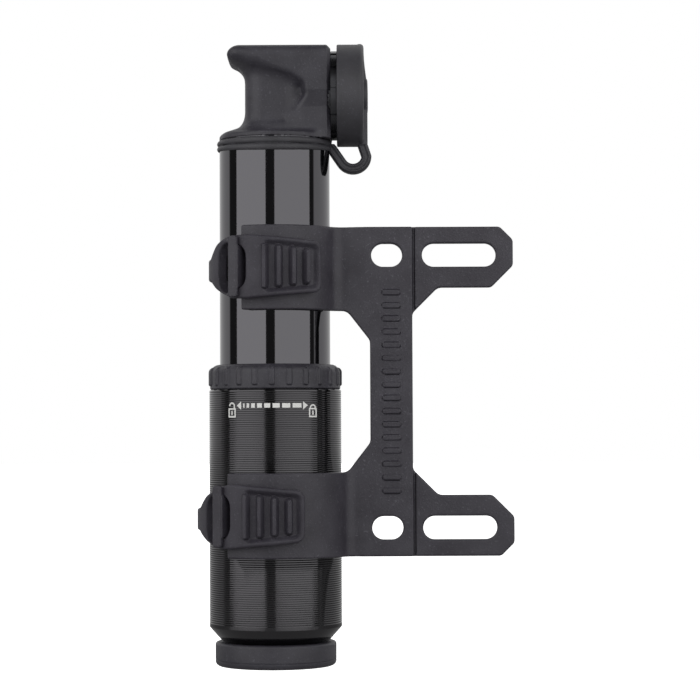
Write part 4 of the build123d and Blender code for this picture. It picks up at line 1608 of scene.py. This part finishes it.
@dataclass
class Handle:
    """Turned sleeve with fine even grooves, and its moulded end cap.

    The neck's groove is given by its depth and by the heights of its two edges, and the cap's score by its
    depth and by the heights of its edges over the cap's foot.
    """

    chamfer_top: float = -55.3
    chamfer: float = 3.1
    groove_pitch: float = 0.505
    groove_depth: float = 0.07
    groove_end: float = -54.9
    neck_step: float = 1.14
    neck_top: float = 4.2
    neck_groove: tuple[float, float, float] = (0.45, 1.95, 3.15)
    neck_wall: float = 1.1
    bore_play: float = 0.5
    bushing_wall: float = 0.5
    bushing_length: float = 6.0
    shoulder: float = -56.6
    shoulder_reach: float = 2.8
    edge: float = 0.25
    # shares of the pitch and of the depth, down one groove
    groove: tuple[tuple[float, float], ...] = (
        (0.0, 0.0),
        (0.2, 0.0),
        (0.35, 0.6),
        (0.5, 1.0),
        (0.65, 0.6),
        (0.8, 0.0),
    )
    cap_foot: float = 1.2
    cap_rim: float = 0.6
    cap_floor: float = 3.0
    cap_score: tuple[float, tuple[float, ...]] = (0.12, (1.35, 1.45, 1.55, 1.65))

    def sleeve_profile(self) -> list[tuple[float, float]]:
        """Draws the sleeve's section, from its neck down the grooved outside and back up the bore.

        Returns:
            Rows of a radius and a height.
        """
        low, high = span("handle_sleeve")
        radius = high[0] - AXIS[0]
        barrel = span("barrel_tube")[1][0] - AXIS[0]
        top = span("lock_collar")[0][2] - 0.05
        bore = barrel + self.bore_play
        bushing = bore + self.bushing_wall
        seat = bore - self.shoulder_reach
        neck = radius - self.neck_step
        deep, low_edge, high_edge = self.neck_groove
        profile = [
            (neck - self.neck_wall, top + 0.2),
            (neck - self.neck_wall, self.neck_top),
            (neck, self.neck_top),
            (neck, high_edge),
            (neck - deep, high_edge),
            (neck - deep, low_edge),
            (neck, low_edge),
            (neck, top),
            (radius - self.edge, top),
            (radius, top - self.edge),
        ]
        height = top - 2 * self.edge
        while height - self.groove_pitch > self.groove_end:
            for share, depth in self.groove:
                profile.append((radius - depth * self.groove_depth, height - share * self.groove_pitch))
            height -= self.groove_pitch
        profile += [
            (radius, self.chamfer_top + 0.05),
            (radius - 0.05, self.chamfer_top - 0.05),
            (radius - self.chamfer, low[2]),
            (seat, low[2]),
            (seat, self.shoulder),
            (bore, self.shoulder),
            (bore, top - self.bushing_length),
            (bushing, top - self.bushing_length),
            (bushing, top + 0.2),
        ]
        return profile

    def cap_profile(self) -> list[tuple[float, float]]:
        """Draws the end cap's section, from its rounded foot up the scored rim and into the sleeve.

        Returns:
            Rows of a radius and a height.
        """
        low, high = span("end_cap")
        radius = high[0] - AXIS[0]
        bottom = low[2]
        play = 0.05
        seat = span("handle_sleeve")[0][2] - play
        spigot = span("barrel_tube")[1][0] - AXIS[0] + self.bore_play - self.shoulder_reach - play
        screw = span("rod_screw")[1][0] - AXIS[0] + 1
        turns = np.radians(np.arange(0, 91, 15))
        foot, edge = self.cap_foot, self.cap_rim
        depth, heights = self.cap_score
        outside = [(radius - foot + foot * math.sin(t), bottom + foot - foot * math.cos(t)) for t in turns]
        score = [(radius - sunk, bottom + up) for sunk, up in zip((0, depth, depth, 0), heights)]
        rim = [(radius - edge + edge * math.cos(t), seat - edge + edge * math.sin(t)) for t in turns]
        inside = [
            (spigot, seat),
            (spigot, high[2]),
            (screw, high[2]),
            (screw, bottom + self.cap_floor),
            (0.05, bottom + self.cap_floor),
        ]
        return [(0.05, bottom), *outside, *score, *rim, *inside]

    def build(self) -> None:
        """Turns the sleeve and the end cap and dresses them."""
        skin = centred(turned(self.sleeve_profile(), 256))
        sleeve = made_piece("handle_turned_sleeve", skin, Kit.SLEEVE, 24)
        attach(sleeve, "handle")
        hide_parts("handle_sleeve")
        end = centred(turned(self.cap_profile()))
        cap = made_piece("end_cap_moulding", end, Kit.HEAD_NYLON, 35)
        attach(cap, "handle")
        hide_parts("end_cap")
        log.info("handle: %d faces on the sleeve", len(skin.faces))


@dataclass
class Collar:
    """Moulded lock collar: a bevelled ring with short upright ribs."""

    rise: float = 0.38
    bevel: float = 1.3
    edge: float = 0.35
    count: int = 24
    phase: float = 1.1
    width: float = 1.3
    length: float = 4.4
    foot: float = 0.9
    lip: float = 0.9
    neck_step: float = 1.14
    neck_play: float = 0.06
    mouth_play: float = 0.3
    bevel_round: float = 0.5
    top_round: float = 0.4
    rib_round: float = 0.3
    rib_fillet: float = 0.2
    rib_root: float = 0.5
    pitch: float = 0.26

    def form(self) -> Field:
        """Joins the collar's ring and ribs into one distance field.

        Returns:
            The field.
        """
        low, high = span("lock_collar")
        outer = high[0] - AXIS[0]
        rim = outer - self.rise
        sleeve = span("handle_sleeve")[1][0] - AXIS[0]
        neck = sleeve - self.neck_step
        mouth = span("barrel_tube")[1][0] - AXIS[0] + self.mouth_play
        step = 360 / self.count
        centre = low[2] + self.foot + self.length / 2

        def field_of(x: Grid, y: Grid, z: Grid) -> Grid:
            """Draws the collar.

            Args:
                x: places across.
                y: places in depth.
                z: heights.

            Returns:
                Distances, negative inside.
            """
            across, deep = off_axis(x, y)
            radius = np.hypot(across, deep)
            angle = np.degrees(np.arctan2(-across, -deep)) - self.phase
            away = (angle + step / 2) % step - step / 2
            body = crossed(radius - rim, low[2] - z, self.edge)
            bevel = (radius - rim + z - high[2] + self.bevel) * math.sqrt(0.5)
            body = crossed(crossed(body, bevel, self.bevel_round), z - high[2], self.top_round)
            side = np.abs(np.radians(away) * rim)
            rib = crossed(side - self.width / 2, np.abs(z - centre) - self.length / 2, self.edge)
            rib = crossed(rib, radius - outer, self.rib_round)
            slant = (radius - outer + z - high[2] + self.bevel) * math.sqrt(0.5)
            rib = np.maximum(crossed(rib, slant, self.rib_round), rim - self.rib_root - radius)
            body = joined(body, rib, self.rib_fillet)
            seat = np.maximum(radius - neck - self.neck_play, z - high[2] + self.lip)
            bore = np.minimum(radius - mouth, seat)
            return np.maximum(body, -bore)

        return field_of

    def build(self) -> None:
        """Wraps the collar and dresses it."""
        low, high = span("lock_collar")
        skin = wrapped(self.form(), low, high, self.pitch)
        collar = made_piece("lock_collar_moulding", skin, Kit.COLLAR_NYLON)
        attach(collar, "collar")
        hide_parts("lock_collar")
        log.info("collar: %d faces", len(skin.faces))


# ---------------------------------------------------------------- marks on the sleeve
@dataclass
class LockMarks:
    """Lock signs marked round the sleeve: open padlock, growing dashes between arrowheads, closed padlock.

    Places are millimetres round the sleeve from the signs' middle, and heights are measured from the dashes.
    """

    height: float = -3.3
    turn: float = 1.25
    lift: float = 0.05
    sink: float = 0.1
    dash_count: int = 8
    dash_first: float = 0.35
    dash_growth: float = 0.26
    dash_gap: float = 0.55
    dash_height: float = 1.03
    dash_start: float = -6.9
    arrow_base: float = 7.45
    arrow_tip: float = 8.62
    arrow_half: float = 0.95
    lock_place: float = 10.06
    lock_half: float = 1.08
    lock_drop: float = 1.67
    lock_lift: float = 0.5
    lock_overlap: float = 0.1
    keyhole: tuple[float, float] = (-0.5, 0.45)
    stroke: float = 0.34
    bow: float = 0.7
    facet: float = 0.4

    def strip(self, low: np.ndarray, high: np.ndarray, closed: bool = False) -> Skin:
        """One stroke between two lines drawn on the sleeve.

        Args:
            low: points of one side, as places round the sleeve and heights.
            high: points of the other side, as many.
            closed: whether the stroke's ends meet.

        Returns:
            The stroke as a closed thin solid.
        """
        radius = span("handle_sleeve")[1][0] - AXIS[0]
        corners = []
        for line, out in ((low, self.lift), (high, self.lift), (high, -self.sink), (low, -self.sink)):
            turn = line[:, 0] / radius - math.radians(self.turn)
            across = AXIS[0] + (radius + out) * np.sin(turn)
            deep = AXIS[1] - (radius + out) * np.cos(turn)
            corners.append(np.stack((across, deep, line[:, 1] + self.height), axis=1))
        points = np.stack(corners, axis=1).reshape(-1, 3)
        count = len(low)
        faces = []
        for row in range(count if closed else count - 1):
            here, there = 4 * row, 4 * ((row + 1) % count)
            faces += [(here + a, here + (a + 1) % 4, there + (a + 1) % 4, there + a) for a in range(4)]
        if not closed:
            last = 4 * (count - 1)
            faces += [(3, 2, 1, 0), (last, last + 1, last + 2, last + 3)]
        return Skin(points, np.zeros((0, 3)), np.array(faces)[:, ::-1])

    def bar(self, left: float, right: float, low: float, high: float) -> Skin:
        """Draws an upright or level bar, divided finely enough to follow the sleeve.

        Args:
            left: where it starts.
            right: where it ends.
            low: height of its lower edge.
            high: height of its upper edge.

        Returns:
            The bar as a thin solid.
        """
        places = np.linspace(left, right, 2 + int((right - left) / self.facet))
        lows = np.stack((places, np.full(len(places), low)), axis=1)
        highs = np.stack((places, np.full(len(places), high)), axis=1)
        return self.strip(lows, highs)

    def arrowhead(self, side: int) -> Skin:
        """Draws the arrowhead at one end of the row of dashes.

        Args:
            side: -1 for the left end, 1 for the right one.

        Returns:
            The arrowhead as a thin solid.
        """
        places = np.linspace(self.arrow_tip, self.arrow_base, 5)
        share = (self.arrow_tip - places) / (self.arrow_tip - self.arrow_base)
        half = np.maximum(share * self.arrow_half, 0.03)
        lows = np.stack((side * places, -half * side), axis=1)
        highs = np.stack((side * places, half * side), axis=1)
        return self.strip(highs, lows)

    def padlock(self, side: int) -> list[Skin]:
        """Draws a padlock: a framed body with a keyhole bar, and a bow that stands open on the left.

        Args:
            side: -1 for the open padlock on the left, 1 for the closed one on the right.

        Returns:
            Its strokes, each a thin solid.
        """
        half, stroke, centre = self.lock_half, self.stroke, side * self.lock_place
        corners = np.array([(-1, -1), (0, -1), (1, -1), (1, 0), (1, 1), (0, 1), (-1, 1), (-1, 0)])
        drop = np.array((centre, -self.lock_drop))
        made = [self.strip(drop + corners * half, drop + corners * (half - stroke), True)]
        low, high = (edge - self.lock_drop for edge in self.keyhole)
        made.append(self.bar(centre - stroke / 2, centre + stroke / 2, low, high))
        lift = self.lock_lift if side < 0 else 0.0
        base = -self.lock_drop + half - self.lock_overlap
        spring = base + lift + self.lock_overlap
        turn = np.radians(np.linspace(180, 0, 13))
        arch = np.stack((np.cos(turn), np.sin(turn)), axis=1)
        bow = np.concatenate((arch, [(1.0, 0.0)]))
        inner = np.array((centre, spring)) + bow * (self.bow - stroke / 2)
        outer = np.array((centre, spring)) + bow * (self.bow + stroke / 2)
        inner[-1, 1] = base
        outer[-1, 1] = base
        made.append(self.strip(inner, outer))
        if not lift:
            leg = centre - self.bow
            made.append(self.bar(leg - stroke / 2, leg + stroke / 2, base, spring + 0.01))
        return made

    def build(self) -> None:
        """Draws the signs and dresses them."""
        strokes = [*self.padlock(-1), self.arrowhead(-1), self.arrowhead(1), *self.padlock(1)]
        place = self.dash_start
        for dash in range(self.dash_count):
            length = self.dash_first + dash * self.dash_growth
            strokes.append(self.bar(place, place + length, -self.dash_height / 2, self.dash_height / 2))
            place += length + self.dash_gap
        shift = np.cumsum([0] + [len(stroke.points) for stroke in strokes])
        points = np.concatenate([stroke.points for stroke in strokes])
        faces = np.concatenate([stroke.faces + start for stroke, start in zip(strokes, shift)])
        marks = made_piece("sleeve_lock_marks", Skin(points, np.zeros((0, 3)), faces), Kit.MARKS, 30)
        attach(marks, "handle")
        log.info("marks: %d strokes", len(strokes))


# ---------------------------------------------------------------- inner pieces
@dataclass(frozen=True)
class InnerPieces:
    """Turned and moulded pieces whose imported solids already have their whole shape."""

    finishes: tuple[tuple[str, Kit], ...] = (
        ("chuck_ring", Kit.CHUCK),
        ("valve_gasket", Kit.SEAL_RUBBER),
        ("valve_pin", Kit.GUIDE_PLASTIC),
        ("head_seal", Kit.SEAL_RUBBER),
        ("valve_poppet", Kit.SEAL_RUBBER),
        ("valve_spring", Kit.SPRING),
        ("rod_guide", Kit.GUIDE_PLASTIC),
        ("bump_stop", Kit.SEAL_RUBBER),
        ("piston_head", Kit.GUIDE_PLASTIC),
        ("piston_seal", Kit.SEAL_RUBBER),
        ("piston_rod", Kit.ROD),
        ("sleeve_bushing", Kit.GUIDE_PLASTIC),
        ("handle_bulkhead", Kit.ROD),
        ("rod_screw", Kit.SCREW),
        ("wiper_ring", Kit.SEAL_RUBBER),
    )

    def build(self) -> None:
        """Dresses each solid."""
        for node, finish in self.finishes:
            finish.dress(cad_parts[node])
            log.info("dressed %s", node)


# ---------------------------------------------------------------- studio
@dataclass
class Studio:
    """Plain studio: two soft panels with dark between them, white behind, pale floor, long lens.

    Each panel is given by its name, by the directions it fills, in degrees to the right of the front, and by
    how bright it is. Mirrored is how bright the world looks in mirrors, in front and behind, and lit_from is
    where it turns from one to the other, as shares of the way to the back. Lean is how much farther forward
    the light reaches on the right. Floor_fade is where the floor starts to whiten and where it is white, in
    metres from its middle.
    """

    eye: tuple[float, float, float] = (-8.79, -551.0, -9.29)
    lens: float = 120.2
    tilt: float = 1.985
    roll: float = 0.25
    floor_height: float = -100.0
    floor_reach: float = 6.0
    floor_grain: float = 25.0
    floor_glow: float = 0.6
    floor_fade: tuple[float, float] = (0.12, 0.5)
    distance: float = 0.7
    height: float = 1.0
    rise: float = 0.22
    panels: tuple[tuple[str, float, float, float], ...] = (
        ("left_panel", -84.0, -17.0, 1.35),
        ("right_panel", 1.4, 78.6, 1.2),
    )
    ambient: float = 0.3
    mirrored: tuple[float, float] = (0.06, 0.74)
    lit_from: tuple[float, float] = (0.26, 0.32)
    lean: float = 0.27

    def panel(self, name: str, low: float, high: float, level: float) -> None:
        """Adds one soft panel at the studio's distance from the pump.

        Args:
            name: the lamp's name.
            low: leftmost direction that it fills, in degrees to the right of the front.
            high: rightmost direction that it fills.
            level: how bright it looks, where 1 is white.
        """
        low, high = math.radians(low), math.radians(high)
        width = 2 * self.distance * math.sin((high - low) / 2)
        reach = self.distance * math.cos((high - low) / 2)
        turn = (low + high) / 2
        light = bpy.data.lights.new(name, "AREA")
        light.shape = "RECTANGLE"
        light.size = width
        light.size_y = self.height
        light.energy = level * math.pi * width * self.height
        made = bpy.data.objects.new(name, light)
        bpy.context.scene.collection.objects.link(made)
        centre = Vector((AXIS[0] * MM, AXIS[1] * MM, 0))
        made.location = centre + Vector((reach * math.sin(turn), -reach * math.cos(turn), self.rise))
        inward = centre + Vector((0, 0, self.rise)) - made.location
        made.rotation_euler = inward.to_track_quat("-Z", "Y").to_euler()
        made.visible_camera = False

    def world(self) -> None:
        """White for the camera and behind the pump, dark in front, a little even light for the rest."""
        made = bpy.data.worlds.new("studio")
        bpy.context.scene.world = made
        tree = blank_tree(made)
        ray = put(tree, "ShaderNodeLightPath", {})
        ahead = put(tree, "ShaderNodeTexCoord", {}).outputs["Generated"]
        parts = put(tree, "ShaderNodeSeparateXYZ", {0: ahead})
        right = put(tree, "ShaderNodeMath", {0: parts.outputs["X"], 1: 0.0}, operation="MAXIMUM")
        wing = put(tree, "ShaderNodeMath", {0: right.outputs[0], 1: self.lean}, operation="MULTIPLY")
        back = put(tree, "ShaderNodeMath", {0: parts.outputs["Y"], 1: wing.outputs[0]}, operation="ADD")
        behind = put(
            tree,
            "ShaderNodeMapRange",
            {
                "Value": back.outputs[0],
                "From Min": self.lit_from[0],
                "From Max": self.lit_from[1],
                "To Min": self.mirrored[0],
                "To Max": self.mirrored[1],
            },
        )
        mirrored = put(
            tree,
            "ShaderNodeMath",
            {0: ray.outputs["Is Glossy Ray"], 1: ray.outputs["Is Transmission Ray"]},
            operation="MAXIMUM",
        )
        soft = put(tree, "ShaderNodeMath", {0: behind.outputs[0], 1: self.ambient}, operation="MAXIMUM")
        seen = put(
            tree,
            "ShaderNodeMix",
            {0: mirrored.outputs[0], 2: soft.outputs[0], 3: behind.outputs[0]},
            data_type="FLOAT",
        )
        level = put(
            tree,
            "ShaderNodeMath",
            {0: seen.outputs[0], 1: ray.outputs["Is Camera Ray"]},
            operation="MAXIMUM",
        )
        light = put(tree, "ShaderNodeBackground", {"Color": linear("#ffffff"), "Strength": level.outputs[0]})
        put(tree, "ShaderNodeOutputWorld", {"Surface": light.outputs[0]})

    def floor(self) -> None:
        """Pale floor well under the pump, white for the camera where no shadow falls, clear from below."""
        mesh = bpy.data.meshes.new("studio_floor")
        reach, height = self.floor_reach, self.floor_height * MM
        corners = [(x * reach, y * reach, height) for x, y in ((-1, -1), (1, -1), (1, 1), (-1, 1))]
        mesh.from_pydata(corners, [], [(0, 1, 2, 3)])
        made = bpy.data.objects.new("studio_floor", mesh)
        bpy.context.scene.collection.objects.link(made)
        paint = bpy.data.materials.new("studio_floor_matte_paper")
        tree = blank_tree(paint)
        ray = put(tree, "ShaderNodeLightPath", {})
        grain = put(tree, "ShaderNodeTexNoise", {"Scale": 1 / (self.floor_grain * MM)})
        tone = put(
            tree,
            "ShaderNodeMix",
            {0: grain.outputs["Fac"], 6: linear("#f2f2f2"), 7: linear("#f6f6f6")},
            data_type="RGBA",
        )
        paper = put(tree, "ShaderNodeBsdfDiffuse", {"Color": tone.outputs[2]})
        place = put(tree, "ShaderNodeTexCoord", {}).outputs["Object"]
        away = put(tree, "ShaderNodeVectorMath", {0: place}, operation="LENGTH")
        near, far = self.floor_fade
        level = put(
            tree,
            "ShaderNodeMapRange",
            {"Value": away.outputs["Value"], "From Min": near, "From Max": far, "To Min": self.floor_glow},
        )
        glow = put(tree, "ShaderNodeEmission", {"Strength": level.outputs[0]})
        pale = put(tree, "ShaderNodeAddShader", {0: paper.outputs[0], 1: glow.outputs[0]})
        cloth = put(tree, "ShaderNodeBsdfDiffuse", {"Color": linear("#9c9c9c")})
        both = put(
            tree,
            "ShaderNodeMixShader",
            {0: ray.outputs["Is Camera Ray"], 1: cloth.outputs[0], 2: pale.outputs[0]},
        )
        clear = put(tree, "ShaderNodeBsdfTransparent", {})
        under = put(tree, "ShaderNodeNewGeometry", {}).outputs["Backfacing"]
        sided = put(tree, "ShaderNodeMixShader", {0: under, 1: both.outputs[0], 2: clear.outputs[0]})
        put(tree, "ShaderNodeOutputMaterial", {"Surface": sided.outputs[0]})
        mesh.materials.append(paint)

    def camera(self) -> None:
        """Long lens in front, low on the pump and tilted up a little."""
        lens = bpy.data.cameras.new("studio_camera")
        lens.lens = self.lens
        lens.sensor_width = 36.0
        lens.clip_end = 50.0
        made = bpy.data.objects.new("studio_camera", lens)
        bpy.context.scene.collection.objects.link(made)
        made.location = Vector(self.eye) * MM
        made.rotation_euler = (math.radians(90 + self.tilt), math.radians(self.roll), 0)
        bpy.context.scene.camera = made

    def build(self) -> None:
        """Sets up lights, world, floor and camera."""
        bpy.context.scene.view_settings.view_transform = "Standard"
        for name, low, high, level in self.panels:
            self.panel(name, low, high, level)
        self.world()
        self.floor()
        self.camera()
        log.info("studio ready")


def main() -> None:
    """Builds every sub-assembly in order, dresses the inner pieces and sets up the studio."""
    logging.basicConfig(level=logging.INFO, format="%(name)s: %(message)s")
    clips = (Clip("upper", 27.1, 59.3, 4.2), Clip("lower", 34.5, 62.1, 4.1, leave=14.0))
    Bracket(clips).build()
    Strap(clips[0], "upper_strap_end").build()
    Strap(clips[1], "lower_strap_end", tail_length=17.1, rib_start=3.9, sag=1.1).build()
    Head().build()
    DustCap().build()
    Tether().build()
    Barrel().build()
    Handle().build()
    Collar().build()
    LockMarks().build()
    InnerPieces().build()
    Studio().build()


if __name__ == "__main__":
    main()
